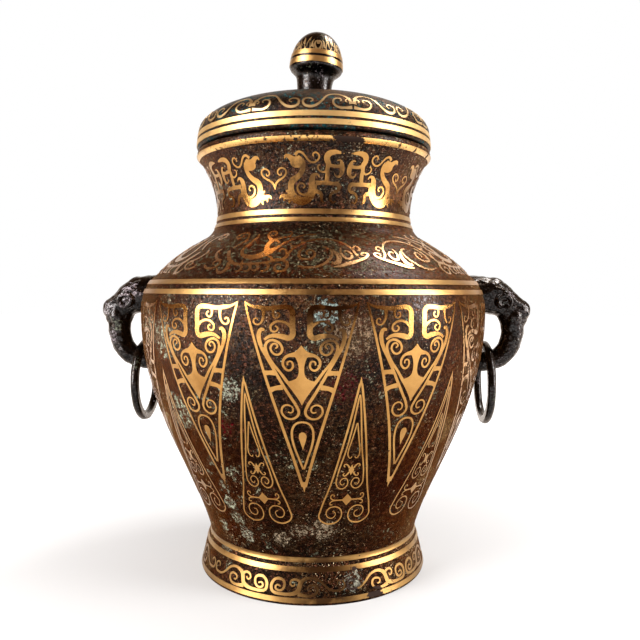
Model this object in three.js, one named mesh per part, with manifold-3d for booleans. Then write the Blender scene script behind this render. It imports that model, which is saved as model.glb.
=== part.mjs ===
// A lidded bronze jar with gold inlay, two animal-head handles and a loose ring in each handle.
// Millimetres, +Z up. The origin is the middle of the foot's underside, and the handles lie on the X axis.
import * as THREE from "three";
import { mergeVertices } from "three/addons/utils/BufferGeometryUtils.js";
import Module from "manifold-3d";

const wasm = await Module();
wasm.setup();

// Facets of the turned pieces
const turnedFacets = 32;
const knobFacets = 20;
const curveSteps = 4;

// Vessel outline: radii, and how far each stretch climbs above the one below it
const footRadius = 46.8;
const skirtRadius = 44.2;
const skirtClimb = 11.4;
const waistRadius = 42.8;
const waistClimb = 4.2;
const bellyRadius = 70.2;
const bellyClimb = 88.4;
const shoulderTuck = 6.7;
const shoulderClimb = 15.5;
const neckFootRadius = 46;
const neckFootClimb = 13.5;
const neckRadius = 39.9;
const neckClimb = 11;
const lipRadius = 46.6;
const lipClimb = 20.8;
const mouthRadius = 48;
const lipEdgeClimb = 1.9;
const mouthClimb = 1.9;

// How far each curve of the vessel keeps the direction that it leaves or arrives in
const bellyFlare = 6.9;
const bellyFlareClimb = 26.4;
const bellyFullness = 37.8;
const shoulderFullness = 11;
const neckFullness = 8;

// Vessel walls
const wall = 3.2;
const footWall = 5.2;
const floorThickness = 3.6;
const floorRise = 1;
const mouthRim = 6.4;

// Lid
const lidRadius = 48;
const lidEdge = 1.2;
const lidRimRadius = 47.4;
const lidRimClimb = 6;
const domeClimb = 15;
const lidWall = 3;
const domeFullness = 6;
const domeSpread = 36;
const domeCrown = 3.2;
const flangeDepth = 7;
const flangeThickness = 2.6;
const flangeClearance = 0.4;
const flangeFloorGap = 1.5;
const seatGap = 0.2;

// Knob
const knobSeatRadius = 10;
const knobTenonRadius = 4;
const knobTenonHeadRadius = 6.4;
const knobTenonHeadThickness = 1.6;
const stemFootRadius = 7.3;
const stemTopRadius = 8.5;
const stemClimb = 10.4;
const capRadius = 11.1;
const capLipClimb = 3.2;
const capClimb = 14.2;
const capFullness = 5.5;
const capCrownRadius = 7.8;
const capCrown = 0.9;

// Fit between pieces that are fixed together
const fit = 0.3;

// Radius and heights that the rest of the jar is placed from
const shoulderRadius = bellyRadius - shoulderTuck;
const skirtHeight = skirtClimb;
const waistHeight = skirtHeight + waistClimb;
const bellyHeight = waistHeight + bellyClimb;
const shoulderHeight = bellyHeight + shoulderClimb;
const neckFootHeight = shoulderHeight + neckFootClimb;
const neckHeight = neckFootHeight + neckClimb;
const lipHeight = neckHeight + lipClimb;
const lipEdgeHeight = lipHeight + lipEdgeClimb;
const mouthHeight = lipEdgeHeight + mouthClimb;
const lidSeat = mouthHeight + seatGap;
const lidEdgeTop = lidSeat + lidEdge;
const lidRimTop = lidEdgeTop + lidRimClimb;
const lidTop = lidRimTop + domeClimb;
const knobSeat = lidTop + fit;
const capFoot = knobSeat + stemClimb;
const capLip = capFoot + capLipClimb;
const capTop = capLip + capClimb;

// Gold bands, let into turned grooves. Each is placed by how far its middle lies above a height of the jar.
const inlayDepth = 1;
const inlayGap = 0.25;
const slimBand = 1.8;
const middleBand = 2;
const wideBand = 2.2;
const vesselBands = [
  { name: "band_foot_lower", from: 0, above: 2.1, width: wideBand },
  { name: "band_foot_middle", from: skirtHeight, above: 0.7, width: slimBand },
  { name: "band_foot_upper", from: waistHeight, above: -0.2, width: slimBand },
  { name: "band_shoulder_lower", from: bellyHeight, above: 8.6, width: slimBand },
  { name: "band_shoulder_upper", from: bellyHeight, above: 12.3, width: wideBand },
  { name: "band_neck_lower", from: neckHeight, above: -5.4, width: slimBand },
  { name: "band_neck_upper", from: neckHeight, above: -2.4, width: middleBand },
  { name: "band_mouth", from: mouthHeight, above: -2, width: middleBand },
];
const lidBands = [
  { name: "band_lid_lower", from: lidSeat, above: 2.6, width: middleBand },
  { name: "band_lid_upper", from: lidSeat, above: 5.6, width: middleBand },
];
const knobBands = [
  { name: "band_knob_lower", from: capLip, above: 0.8, width: wideBand },
  { name: "band_knob_upper", from: capLip, above: 4.2, width: middleBand },
];

// Gold blades round the belly: hanging ones from the shoulder down, and standing ones between them
const bladeCount = 11;
const bladeStrip = 1.8;
const bladeSpacing = 2.8;
const hangingTopRise = 6;
const hangingTipRise = 27.4;
const standingFootRise = 13.4;
const standingTipDrop = 18;
const standingWidth = 18.5;
const hangingTop = bellyHeight + hangingTopRise;
const hangingTip = waistHeight + hangingTipRise;
const standingFoot = waistHeight + standingFootRise;
const standingTip = bellyHeight - standingTipDrop;

// Handles: an animal head whose trunk curls down and back to the wall. Reaches are counted from the belly.
const headRise = 6.6;
const headThickness = 16.6;
const headWidth = 15;
const headReach = 8.2;
const headNod = 1.6;
const browDrop = 7;
const browThickness = 11.4;
const browWidth = 12;
const trunkReach = 12.4;
const trunkRise = 12.4;
const trunkThickness = 8.6;
const trunkWidth = 9;
const elbowReach = 8.8;
const elbowRise = 3.4;
const snoutReach = 16.4;
const snoutDrop = 5.7;
const snoutRadius = 4;
const eyeReach = 8.6;
const eyeDrop = 0.4;
const eyeRadius = 3.1;
const eyeRimRadius = 2.3;
const eyeHollowRadius = 1.5;
const eyeRise = 0.9;
const eyeHollow = 0.8;
const tenonRadius = 3.6;
const tenonToBand = 0.9;
const barDrop = 20;
const barRadius = 4.1;
const barShoulder = 0.9;
const loftSides = 12;
const loftStations = 14;
const headHeight = bellyHeight + headRise;
const barHeight = bellyHeight - barDrop;

// Rings, each hanging on the bar at the end of a trunk
const ringOuterDiameter = 34.7;
const ringWire = 4;
const ringGap = 0.3;
const ringWallGap = 0.5;
const ringSteps = 28;
const ringSides = 8;

const bronze = new THREE.MeshStandardMaterial({ color: 0x35292a, roughness: 0.45, metalness: 0.8 });
const darkBronze = new THREE.MeshStandardMaterial({ color: 0x24201f, roughness: 0.5, metalness: 0.8 });
const gold = new THREE.MeshStandardMaterial({ color: 0xd29a3c, roughness: 0.3, metalness: 1 });

// A closed geometry as a solid that can be cut and joined.
function toSolid(geometry) {
  const bare = geometry.clone();
  bare.deleteAttribute("normal");
  bare.deleteAttribute("uv");
  const merged = mergeVertices(bare, 1e-4);
  const corners = merged.index.array;
  const kept = [];
  for (let i = 0; i < corners.length; i += 3) {
    const [a, b, c] = corners.slice(i, i + 3);
    if (a !== b && b !== c && c !== a) kept.push(a, b, c);
  }
  const vertProperties = merged.attributes.position.array;
  const mesh = new wasm.Mesh({ numProp: 3, vertProperties, triVerts: new Uint32Array(kept) });
  return new wasm.Manifold(mesh);
}

// The solid's vertices and triangles as a geometry for a mesh.
function toGeometry(solid) {
  const { vertProperties, triVerts } = solid.getMesh();
  const geometry = new THREE.BufferGeometry();
  geometry.setAttribute("position", new THREE.BufferAttribute(vertProperties, 3));
  geometry.setIndex(new THREE.BufferAttribute(triVerts, 1));
  geometry.computeVertexNormals();
  return geometry;
}

function at(radius, height) {
  return new THREE.Vector2(radius, height);
}

// A profile of (radius, height) points turned about Z, with its first facet edge at the front, on -Y.
function turn(profile, facets) {
  return new THREE.LatheGeometry(profile, facets).rotateX(Math.PI / 2);
}

function named(name, geometry, material) {
  const mesh = new THREE.Mesh(geometry, material.clone());
  mesh.name = name;
  return mesh;
}

// An outline that climbs from its lowest point to its highest.
class Outline {
  constructor(path) {
    this.points = path.getPoints(curveSteps);
  }

  // The point on the outline at a height, and the outline's direction and outward normal there.
  lookup(height) {
    const last = this.points.length - 1;
    const next = this.points.findIndex((p, i) => i === last || (i > 0 && p.y >= height));
    const below = this.points[next - 1];
    const above = this.points[next];
    const share = (height - below.y) / (above.y - below.y);
    const along = above.clone().sub(below).normalize();
    const point = at(below.x + (above.x - below.x) * share, height);
    return { point, along, normal: at(along.y, -along.x) };
  }

  // The outline's points moved outwards by a distance, or inwards if it is negative.
  offset(distance) {
    return this.points.map((point, i) => {
      const before = this.points[Math.max(i - 1, 0)];
      const after = this.points[Math.min(i + 1, this.points.length - 1)];
      const along = after.clone().sub(before).normalize();
      return at(point.x + along.y * distance, point.y - along.x * distance);
    });
  }

  // The section across a band: its two edges on the outline, and the same edges sunk to a depth.
  section(band, inset, depth) {
    const middle = band.from + band.above;
    const { along, normal } = this.lookup(middle);
    const half = (band.width / 2 - inset) * along.y;
    const low = this.lookup(middle - half).point;
    const high = this.lookup(middle + half).point;
    const sink = normal.multiplyScalar(-depth);
    return { low, high, lowFloor: low.clone().add(sink), highFloor: high.clone().add(sink) };
  }

  // The outline with a groove cut for each band, the bands listed from the lowest up.
  grooved(bands) {
    const grooves = bands.map((band) => this.section(band, 0, inlayDepth));
    const clear = (p) => grooves.every((g) => p.y < g.low.y || p.y > g.high.y);
    const result = [];
    let next = 0;
    for (const point of this.points.filter(clear)) {
      while (next < grooves.length && grooves[next].low.y <= point.y) {
        const { low, lowFloor, highFloor, high } = grooves[next];
        result.push(low, lowFloor, highFloor, high);
        next += 1;
      }
      result.push(point);
    }
    return result;
  }

  // The gold strip that fills a band's groove, flush with the bronze.
  strip(band, facets) {
    const { low, high, lowFloor, highFloor } = this.section(band, inlayGap, inlayDepth - inlayGap);
    return named(band.name, turn([lowFloor, low, high, highFloor, lowFloor], facets), gold);
  }
}

const vesselOutline = new Outline(
  new THREE.Path()
    .moveTo(footRadius, 0)
    .lineTo(skirtRadius, skirtHeight)
    .lineTo(waistRadius, waistHeight)
    .bezierCurveTo(
      waistRadius + bellyFlare,
      waistHeight + bellyFlareClimb,
      bellyRadius,
      bellyHeight - bellyFullness,
      bellyRadius,
      bellyHeight,
    )
    .quadraticCurveTo(bellyRadius, bellyHeight + shoulderFullness, shoulderRadius, shoulderHeight)
    .lineTo(neckFootRadius, neckFootHeight)
    .quadraticCurveTo(neckRadius, neckHeight - neckFullness, neckRadius, neckHeight)
    .quadraticCurveTo(neckRadius, neckHeight + neckFullness, lipRadius, lipHeight)
    .lineTo(mouthRadius, lipEdgeHeight)
    .lineTo(mouthRadius, mouthHeight),
);

function wallAt(height) {
  return vesselOutline.lookup(height).point.x;
}

const floorHeight = waistHeight + floorRise;
const boreRadius = mouthRadius - mouthRim;
const boreBottom = mouthHeight - flangeDepth - flangeFloorGap;

// The vessel as cast: hollow foot, floor, grooved outer wall, flat mouth, bore for the lid and inner wall.
function vesselCasting() {
  const footCeiling = floorHeight - floorThickness;
  const innerWall = vesselOutline
    .offset(-wall)
    .filter((p) => p.y > floorHeight + wall && p.y < boreBottom - wall)
    .map((p) => (p.y > neckHeight ? at(Math.min(p.x, boreRadius), p.y) : p))
    .reverse();
  const profile = [
    at(0, footCeiling),
    at(waistRadius - footWall, footCeiling),
    at(footRadius - footWall, 0),
    ...vesselOutline.grooved(vesselBands),
    at(boreRadius, mouthHeight),
    at(boreRadius, boreBottom),
    ...innerWall,
    at(waistRadius - wall, floorHeight),
    at(0, floorHeight),
  ];
  return toSolid(turn(profile, turnedFacets));
}

// A skin of the wall from the waist to the lip, between two distances from its outline, inwards negative.
function wallSkin(inner, outer) {
  const waistToLip = (p, i, points) => i > 1 && points[i - 1].y < lipHeight;
  const outside = vesselOutline.offset(outer).filter(waistToLip);
  const inside = vesselOutline.offset(inner).filter(waistToLip).reverse();
  return toSolid(turn([...outside, ...inside, outside[0]], turnedFacets));
}

// A V of gold strip seen square on, from its open end to its tip, grown all round by a distance.
function bladeShape({ open, tip, width }, grow) {
  const half = width / 2;
  const climb = open - tip;
  const slant = Math.hypot(half, climb) / Math.abs(climb);
  const end = open + grow * Math.sign(climb);
  const edge = (shift) => ({
    x: half * (1 + grow / Math.abs(climb)) + shift * slant,
    tip: tip - (climb * shift * slant) / half,
  });
  const outer = edge(grow);
  const inner = edge(-bladeStrip - grow);
  return new THREE.Shape([
    at(-outer.x, end),
    at(0, outer.tip),
    at(outer.x, end),
    at(inner.x, end),
    at(0, inner.tip),
    at(-inner.x, end),
  ]);
}

// The blade's outline pushed out from the axis through the wall, at an angle round the jar.
function bladePrism(shape, angle) {
  const depth = bellyRadius + wall;
  const prism = new THREE.ExtrudeGeometry(shape, { depth, bevelEnabled: false });
  return toSolid(prism.rotateX(Math.PI / 2).rotateZ(angle));
}

// Every blade's name, sizes and angle. The first hanging blade faces the front.
function bladeLayout() {
  const pitch = (2 * Math.PI) / bladeCount;
  const topRadius = wallAt(hangingTop);
  const hangingWidth = 2 * topRadius * Math.sin(pitch / 2) - bladeSpacing;
  const hanging = { open: hangingTop, tip: hangingTip, width: hangingWidth };
  const standing = { open: standingFoot, tip: standingTip, width: standingWidth };
  const layout = [];
  for (let i = 0; i < bladeCount; i++) {
    const number = String(i + 1).padStart(2, "0");
    layout.push({ name: `blade_hanging_${number}`, sizes: hanging, angle: pitch * i });
    layout.push({ name: `blade_standing_${number}`, sizes: standing, angle: pitch * (i + 0.5) });
  }
  return layout;
}

// Where the handle's tenon goes through the wall, and where its ring hangs.
const lowerShoulderBand = vesselBands.find((band) => band.name === "band_shoulder_lower");
const bandFoot = lowerShoulderBand.from + lowerShoulderBand.above - lowerShoulderBand.width / 2;
const tenonHeight = bandFoot - tenonToBand - fit - tenonRadius;
const ringOuter = ringOuterDiameter / 2;
const ringMean = ringOuter - ringWire / 2;
const ringHeight = barHeight + barRadius + ringGap + ringWire / 2 - ringMean;
const ringReach = wallAt(ringHeight + ringOuter) + ringWallGap + ringWire / 2;
const barReach = ringReach + ringWire / 2 + barShoulder - bellyRadius;

// A closed tube through oval rings that share one number of sides.
function loft(rings) {
  const across = new THREE.Vector3(0, 1, 0);
  const points = rings.flatMap(({ centre, up, thick, wide }) =>
    Array.from({ length: loftSides }, (_, k) => {
      const angle = (2 * Math.PI * k) / loftSides;
      return centre
        .clone()
        .addScaledVector(up, (thick / 2) * Math.cos(angle))
        .addScaledVector(across, (wide / 2) * Math.sin(angle));
    }),
  );
  const faces = [];
  for (let i = 0; i + 1 < rings.length; i++) {
    for (let k = 0; k < loftSides; k++) {
      const a = i * loftSides + k;
      const b = i * loftSides + ((k + 1) % loftSides);
      faces.push(a, b, a + loftSides, b, b + loftSides, a + loftSides);
    }
  }
  const last = (rings.length - 1) * loftSides;
  for (let k = 1; k + 1 < loftSides; k++) {
    faces.push(0, k + 1, k);
    faces.push(last, last + k, last + k + 1);
  }
  return new THREE.BufferGeometry().setFromPoints(points).setIndex(faces);
}

// The head and trunk as one loft in the XZ plane, from inside the wall out, down and back into the wall.
function headAndTrunk() {
  const bar = 2 * barRadius;
  const stations = [
    { out: -wall, up: headHeight, thick: headThickness, wide: headWidth },
    { out: 0, up: headHeight, thick: headThickness, wide: headWidth },
    { out: headReach, up: headHeight - headNod, thick: headThickness, wide: headWidth },
    { out: trunkReach, up: headHeight - browDrop, thick: browThickness, wide: browWidth },
    { out: trunkReach, up: barHeight + trunkRise, thick: trunkThickness, wide: trunkWidth },
    { out: elbowReach, up: barHeight + elbowRise, thick: trunkThickness, wide: trunkWidth },
    { out: barReach, up: barHeight, thick: bar, wide: bar },
  ];
  const centres = new THREE.CatmullRomCurve3(
    stations.map((s) => new THREE.Vector3(bellyRadius + s.out, 0, s.up)),
  );
  const sizes = new THREE.CatmullRomCurve3(
    stations.map((s) => new THREE.Vector3(s.thick, s.wide, 0)),
  );
  const rings = [];
  for (let i = 0; i < loftStations; i++) {
    const share = i / loftStations;
    const { x: thick, y: wide } = sizes.getPoint(share);
    const along = centres.getTangent(share);
    const up = new THREE.Vector3(along.z, 0, -along.x);
    rings.push({ centre: centres.getPoint(share), up, thick, wide });
  }
  const barUp = new THREE.Vector3(0, 0, 1);
  for (const reach of [barReach, -bellyRadius / 2]) {
    const centre = new THREE.Vector3(bellyRadius + reach, 0, barHeight);
    rings.push({ centre, up: barUp, thick: bar, wide: bar });
  }
  return toSolid(loft(rings));
}

// A raised round eye with a hollow middle, on the head's side that faces the given way along Y.
function eye(side) {
  const face = headWidth / 2;
  const profile = [
    at(0, face - eyeRadius),
    at(eyeRadius, face - eyeRadius),
    at(eyeRadius, face),
    at(eyeRimRadius, face + eyeRise),
    at(eyeHollowRadius, face + eyeRise - eyeHollow),
    at(0, face + eyeRise - eyeHollow),
  ];
  const geometry = new THREE.LatheGeometry(profile, loftSides);
  if (side < 0) geometry.rotateX(Math.PI);
  return toSolid(geometry.translate(bellyRadius + eyeReach, 0, headHeight - eyeDrop));
}

// A round peg along X through the wall, turned about Z by an angle: a handle's tenon, or the hole for it.
function tenon(radius, from, to, angle) {
  const peg = new THREE.CylinderGeometry(radius, radius, to - from, loftSides);
  peg.rotateZ(Math.PI / 2).translate((from + to) / 2, 0, tenonHeight);
  return toSolid(peg.rotateZ(angle));
}

// One handle, on +X: head, trunk, snout and eyes, fitted to the wall, with the tenon that holds it.
function handleCasting() {
  const snout = new THREE.SphereGeometry(snoutRadius, loftSides, loftSides / 2);
  snout.translate(bellyRadius + snoutReach, 0, headHeight - snoutDrop);
  const outside = vesselOutline.offset(fit);
  const wallBlock = [at(0, outside[0].y), ...outside, at(0, outside.at(-1).y)];
  const innerFace = wallAt(tenonHeight) - wall;
  return headAndTrunk()
    .add(toSolid(snout))
    .add(eye(1))
    .add(eye(-1))
    .subtract(toSolid(turn(wallBlock, turnedFacets)))
    .add(tenon(tenonRadius, innerFace, bellyRadius + headReach, 0));
}

const lidOutline = new Outline(
  new THREE.Path()
    .moveTo(lidRadius - lidEdge, lidSeat)
    .lineTo(lidRadius, lidEdgeTop)
    .lineTo(lidRimRadius, lidRimTop)
    .bezierCurveTo(
      lidRimRadius,
      lidRimTop + domeFullness,
      domeSpread,
      lidTop - domeCrown,
      knobSeatRadius,
      lidTop,
    ),
);

// The lid: a domed shell with a flange that drops into the mouth and a hole for the knob's tenon.
function lidCasting() {
  const holeRadius = knobTenonRadius + fit;
  const flangeOuter = boreRadius - flangeClearance;
  const flangeInner = flangeOuter - flangeThickness;
  const underside = lidOutline
    .offset(-lidWall)
    .filter((p) => p.x > knobSeatRadius && p.x < flangeInner && p.y > lidRimTop)
    .reverse();
  const profile = [
    at(holeRadius, lidTop - lidWall),
    at(knobSeatRadius, lidTop - lidWall),
    ...underside,
    at(flangeInner, lidRimTop),
    at(flangeInner, lidSeat - flangeDepth),
    at(flangeOuter, lidSeat - flangeDepth),
    at(flangeOuter, lidSeat),
    ...lidOutline.grooved(lidBands),
    at(holeRadius, lidTop),
    at(holeRadius, lidTop - lidWall),
  ];
  return turn(profile, turnedFacets);
}

const capOutline = new Outline(
  new THREE.Path()
    .moveTo(stemTopRadius, capFoot)
    .quadraticCurveTo(capRadius, capFoot, capRadius, capLip)
    .bezierCurveTo(capRadius, capLip + capFullness, capCrownRadius, capTop - capCrown, 0, capTop),
);

// The knob: a tenon headed over under the lid, a stem that widens upwards and an egg-shaped cap.
function knobCasting() {
  const headTop = lidTop - lidWall - fit;
  const headFoot = headTop - knobTenonHeadThickness;
  const profile = [
    at(0, headFoot),
    at(knobTenonHeadRadius, headFoot),
    at(knobTenonHeadRadius, headTop),
    at(knobTenonRadius, headTop),
    at(knobTenonRadius, knobSeat),
    at(stemFootRadius, knobSeat),
    ...capOutline.grooved(knobBands),
  ];
  return turn(profile, knobFacets);
}

const jar = new THREE.Group();

// The vessel with a hole for each handle's tenon and a recess for each gold blade, and the blades themselves.
const sides = [
  { side: "right", angle: 0 },
  { side: "left", angle: Math.PI },
];
let vessel = vesselCasting();
for (const { angle } of sides) {
  const inside = wallAt(tenonHeight) - 2 * wall;
  vessel = vessel.subtract(tenon(tenonRadius + fit, inside, bellyRadius + wall, angle));
}
const bladeSkin = wallSkin(inlayGap - inlayDepth, 0);
const recessSkin = wallSkin(-inlayDepth, inlayDepth);
for (const { name, sizes, angle } of bladeLayout()) {
  const blade = bladeSkin.intersect(bladePrism(bladeShape(sizes, 0), angle));
  const recess = recessSkin.intersect(bladePrism(bladeShape(sizes, inlayGap), angle));
  vessel = vessel.subtract(recess);
  jar.add(named(name, toGeometry(blade), gold));
}
jar.add(named("vessel", toGeometry(vessel), bronze));
for (const band of vesselBands) jar.add(vesselOutline.strip(band, turnedFacets));

// The handles and their rings, the left pair turned half round from the right.
const handleGeometry = toGeometry(handleCasting());
const ringGeometry = new THREE.TorusGeometry(ringMean, ringWire / 2, ringSides, ringSteps);
ringGeometry.rotateY(Math.PI / 2).translate(ringReach, 0, ringHeight);
for (const { side, angle } of sides) {
  const pair = new THREE.Group();
  pair.rotation.z = angle;
  pair.add(named(`handle_${side}`, handleGeometry, darkBronze));
  pair.add(named(`ring_${side}`, ringGeometry, darkBronze));
  jar.add(pair);
}

jar.add(named("lid", lidCasting(), bronze));
for (const band of lidBands) jar.add(lidOutline.strip(band, turnedFacets));
jar.add(named("knob", knobCasting(), darkBronze));
for (const band of knobBands) jar.add(capOutline.strip(band, knobFacets));

export default jar;
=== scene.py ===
# %% [markdown]
# # A gold-inlaid bronze jar
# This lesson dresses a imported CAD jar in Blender. The real jar is a bronze casting with a lift-off lid, two
# animal-head handles with loose rings, and gold strips hammered into recesses all over it. The CAD model
# already holds every size and joint, so we load it first and build on it without moving it. Most pieces
# below take the place of a plain CAD node, the finest gold is added on top, and each piece moves with the
# body that carries it.

import math
from bisect import bisect_left

import bmesh
import bpy
from mathutils import Matrix, Vector, noise
from mathutils.geometry import interpolate_bezier


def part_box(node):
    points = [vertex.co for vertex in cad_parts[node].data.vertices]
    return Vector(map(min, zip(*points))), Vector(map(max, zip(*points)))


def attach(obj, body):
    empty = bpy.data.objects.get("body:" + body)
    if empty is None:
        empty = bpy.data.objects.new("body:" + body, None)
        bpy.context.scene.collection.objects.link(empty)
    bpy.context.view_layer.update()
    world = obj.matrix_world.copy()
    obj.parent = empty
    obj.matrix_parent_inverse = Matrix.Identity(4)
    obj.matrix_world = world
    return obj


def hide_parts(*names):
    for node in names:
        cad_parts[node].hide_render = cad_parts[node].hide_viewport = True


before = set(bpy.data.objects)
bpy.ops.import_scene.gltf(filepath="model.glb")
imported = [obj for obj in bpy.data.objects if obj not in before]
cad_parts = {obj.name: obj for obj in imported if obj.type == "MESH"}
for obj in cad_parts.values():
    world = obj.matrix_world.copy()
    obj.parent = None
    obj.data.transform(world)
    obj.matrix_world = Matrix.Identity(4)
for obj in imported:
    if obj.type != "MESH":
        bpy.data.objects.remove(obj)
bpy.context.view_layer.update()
MM = 0.001

# %% [markdown]
# ## Outlines
# A turned vessel is known once its outline is known. We could type in many points, but curves need few:
# each stretch is one Bezier curve, as a potter would cut a template. We also measure along the outline. A
# length along it and an angle round the axis then say where any piece of inlay lies, just as two directions
# do on a flat sheet of paper.

# %% Outline helper
SAME_POINT = 1e-3


def stretch(start, lean, arrive, end, steps=24):
    """Points along one Bezier stretch of an outline, as (radius, height) in millimetres."""
    return [Vector(p) for p in interpolate_bezier(start, lean, arrive, end, steps)]


class Outline:
    """A turned outline from its lowest point up, measured by the length along it."""

    def __init__(self, *stretches):
        joined = [p for part in stretches for p in part]
        self.points = [p for i, p in enumerate(joined) if i == 0 or (p - joined[i - 1]).length > SAME_POINT]
        self.lengths = [0.0]
        for low, high in zip(self.points, self.points[1:]):
            self.lengths.append(self.lengths[-1] + (high - low).length)

    def along(self, height):
        """The length along the outline at a height."""
        heights = [p.y for p in self.points]
        i = min(max(bisect_left(heights, height), 1), len(heights) - 1)
        share = (height - heights[i - 1]) / (heights[i] - heights[i - 1])
        return self.lengths[i - 1] + share * (self.lengths[i] - self.lengths[i - 1])

    def at(self, length, lift=0.0):
        """The (radius, height) point at a length, raised off the outline by lift."""
        i = min(max(bisect_left(self.lengths, length), 1), len(self.lengths) - 1)
        low, high = self.points[i - 1], self.points[i]
        step = self.lengths[i] - self.lengths[i - 1]
        point = low.lerp(high, (length - self.lengths[i - 1]) / step)
        normal = Vector((high.y - low.y, low.x - high.x)) / step
        return point + normal * lift

    def place(self, angle, length, lift=0.0):
        """The point in space at an angle round the axis, counted from the front, -Y, towards +X."""
        point = self.at(length, lift)
        return Vector((point.x * math.sin(angle), -point.x * math.cos(angle), point.y)) * MM

    def inner(self, depth, low, high):
        """Points of the wall's inner face between two heights, from the top down."""
        face = [self.at(s, -depth) for s in self.lengths]
        return [p for p in reversed(face) if low < p.y < high]


quarter = Outline(stretch((10, 0), (10, 5.52), (5.52, 10), (0, 10)))
print("a quarter circle of radius 10 mm measures", round(quarter.lengths[-1], 2), "mm along its outline")

# %% [markdown]
# ### Three outlines
# Heights are millimetres above the table. The vessel's outline runs from the foot over the belly and the
# shoulder to the mouth, the lid's over the rim and the dome, and the knob's over the stem and the bud. Each
# stretch starts where the one before it ends, so there are no gaps.

# %% The jar's outlines
vessel_line = Outline(
    stretch((46.5, 0), (46.9, 0.3), (46.7, 0.6), (46.6, 1), 6),
    stretch((46.6, 1), (45.8, 4.6), (45, 8), (44.2, 11.4), 12),
    stretch((44.2, 11.4), (43.7, 12.9), (42.9, 14.2), (42.8, 15.6), 8),
    stretch((42.8, 15.6), (49.7, 42), (70.2, 66.2), (70.2, 104), 48),
    stretch((70.2, 104), (70.2, 111.4), (68, 116.5), (63.5, 119.5), 20),
    stretch((63.5, 119.5), (59.6, 124), (53.6, 128.6), (46, 133), 20),
    stretch((46, 133), (41.9, 135), (39.9, 138.7), (39.9, 144), 16),
    stretch((39.9, 144), (39.9, 150), (41.6, 157), (46.6, 164.8), 20),
    stretch((46.6, 164.8), (47.6, 165.6), (48, 166), (48, 166.7), 6),
    stretch((48, 166.7), (48, 167.4), (48, 168), (47.6, 168.6), 6),
)
lid_line = Outline(
    stretch((46.8, 168.9), (47.3, 169), (47.9, 169.3), (48, 170), 6),
    stretch((48, 170), (48, 172), (47.7, 174), (47.4, 176), 8),
    stretch((47.4, 176), (47.3, 182), (37, 188.4), (10, 191), 32),
    stretch((10, 191), (9.4, 191.1), (8.7, 191.1), (8, 191.1), 4),
)
knob_line = Outline(
    stretch((7.3, 191.4), (7.1, 194.6), (7.2, 197.6), (7.8, 199.8), 12),
    stretch((7.8, 199.8), (8.3, 201.8), (10.9, 202), (11.1, 204.3), 12),
    stretch((11.1, 204.3), (11.1, 211), (7.8, 218.9), (0.05, 219.05), 24),
)
print("outline lengths in mm:", [round(o.lengths[-1], 1) for o in (vessel_line, lid_line, knob_line)])

# %% [markdown]
# ## Finishes
# The bronze is dark and metallic, and long burial left it mottled: brown and black clouds, red patches of
# copper oxide, grey-green crusts and pale mineral grains. A picture could be wrapped round the jar, but it
# would stretch and show a seam. We build every finish from noise in object space instead, so it has no seam
# and stays on the metal when a piece moves. Each helper adds a node or two and hands back an output.


# %% Noise helpers
def finish(name):
    """A new material, its node tree and its Principled shader."""
    material = bpy.data.materials.new(name)
    material.use_nodes = True
    tree = material.node_tree
    return material, tree, tree.nodes["Principled BSDF"]


def here(tree):
    """The place on the object, in metres."""
    return tree.nodes.new("ShaderNodeTexCoord").outputs["Object"]


def clouds(tree, scale, detail, roughness):
    """The value of a noise texture."""
    texture = tree.nodes.new("ShaderNodeTexNoise")
    texture.inputs["Scale"].default_value = scale
    texture.inputs["Detail"].default_value = detail
    texture.inputs["Roughness"].default_value = roughness
    tree.links.new(here(tree), texture.inputs["Vector"])
    return texture.outputs["Fac"]


def window(tree, value, low, high, bottom=0.0, top=1.0):
    """A value remapped from one range to another and held inside it."""
    node = tree.nodes.new("ShaderNodeMapRange")
    node.inputs["From Min"].default_value = low
    node.inputs["From Max"].default_value = high
    node.inputs["To Min"].default_value = bottom
    node.inputs["To Max"].default_value = top
    tree.links.new(value, node.inputs["Value"])
    return node.outputs["Result"]


def veil(tree, recipe, bottom=0.0, top=1.0):
    """A share from noise, by a recipe of (scale, detail, roughness, from, to)."""
    scale, detail, roughness, low, high = recipe
    return window(tree, clouds(tree, scale, detail, roughness), low, high, bottom, top)


for scale in (40, 150, 700, 1900):
    print("noise of scale", scale, "makes clouds of about", round(1 / scale / MM, 1), "mm")

# %% [markdown]
# ### Mixing
# A finish is stacked like paint: a colour, then another over it where a share says so. Mix nodes do that, a
# maths node joins two shares, and a bump node turns noise into small dents without any geometry.


# %% Mixing helpers
def reckon(tree, operation, first, second=None):
    """A maths node on one or two outputs."""
    node = tree.nodes.new("ShaderNodeMath")
    node.operation = operation
    tree.links.new(first, node.inputs[0])
    if second:
        tree.links.new(second, node.inputs[1])
    return node.outputs["Value"]


def tint(tree, share, under, over):
    """One colour laid over another by a share. Each is a colour or an output."""
    node = tree.nodes.new("ShaderNodeMix")
    node.data_type = "RGBA"
    tree.links.new(share, node.inputs["Factor"])
    for socket, colour in ((node.inputs["A"], under), (node.inputs["B"], over)):
        if isinstance(colour, tuple):
            socket.default_value = (*colour, 1)
        else:
            tree.links.new(colour, socket)
    return node.outputs["Result"]


def shaded(tree, colour, share):
    """A colour made darker or lighter by a share."""
    node = tree.nodes.new("ShaderNodeVectorMath")
    node.operation = "SCALE"
    tree.links.new(colour, node.inputs["Vector"])
    tree.links.new(share, node.inputs["Scale"])
    return node.outputs["Vector"]


def relief(tree, shader, height, distance):
    """Small bumps on a shader, as deep as distance in metres."""
    node = tree.nodes.new("ShaderNodeBump")
    node.inputs["Distance"].default_value = distance
    tree.links.new(height, node.inputs["Height"])
    tree.links.new(node.outputs["Normal"], shader.inputs["Normal"])


print("mixing helpers:", *[helper.__name__ for helper in (reckon, tint, shaded, relief)])

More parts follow.
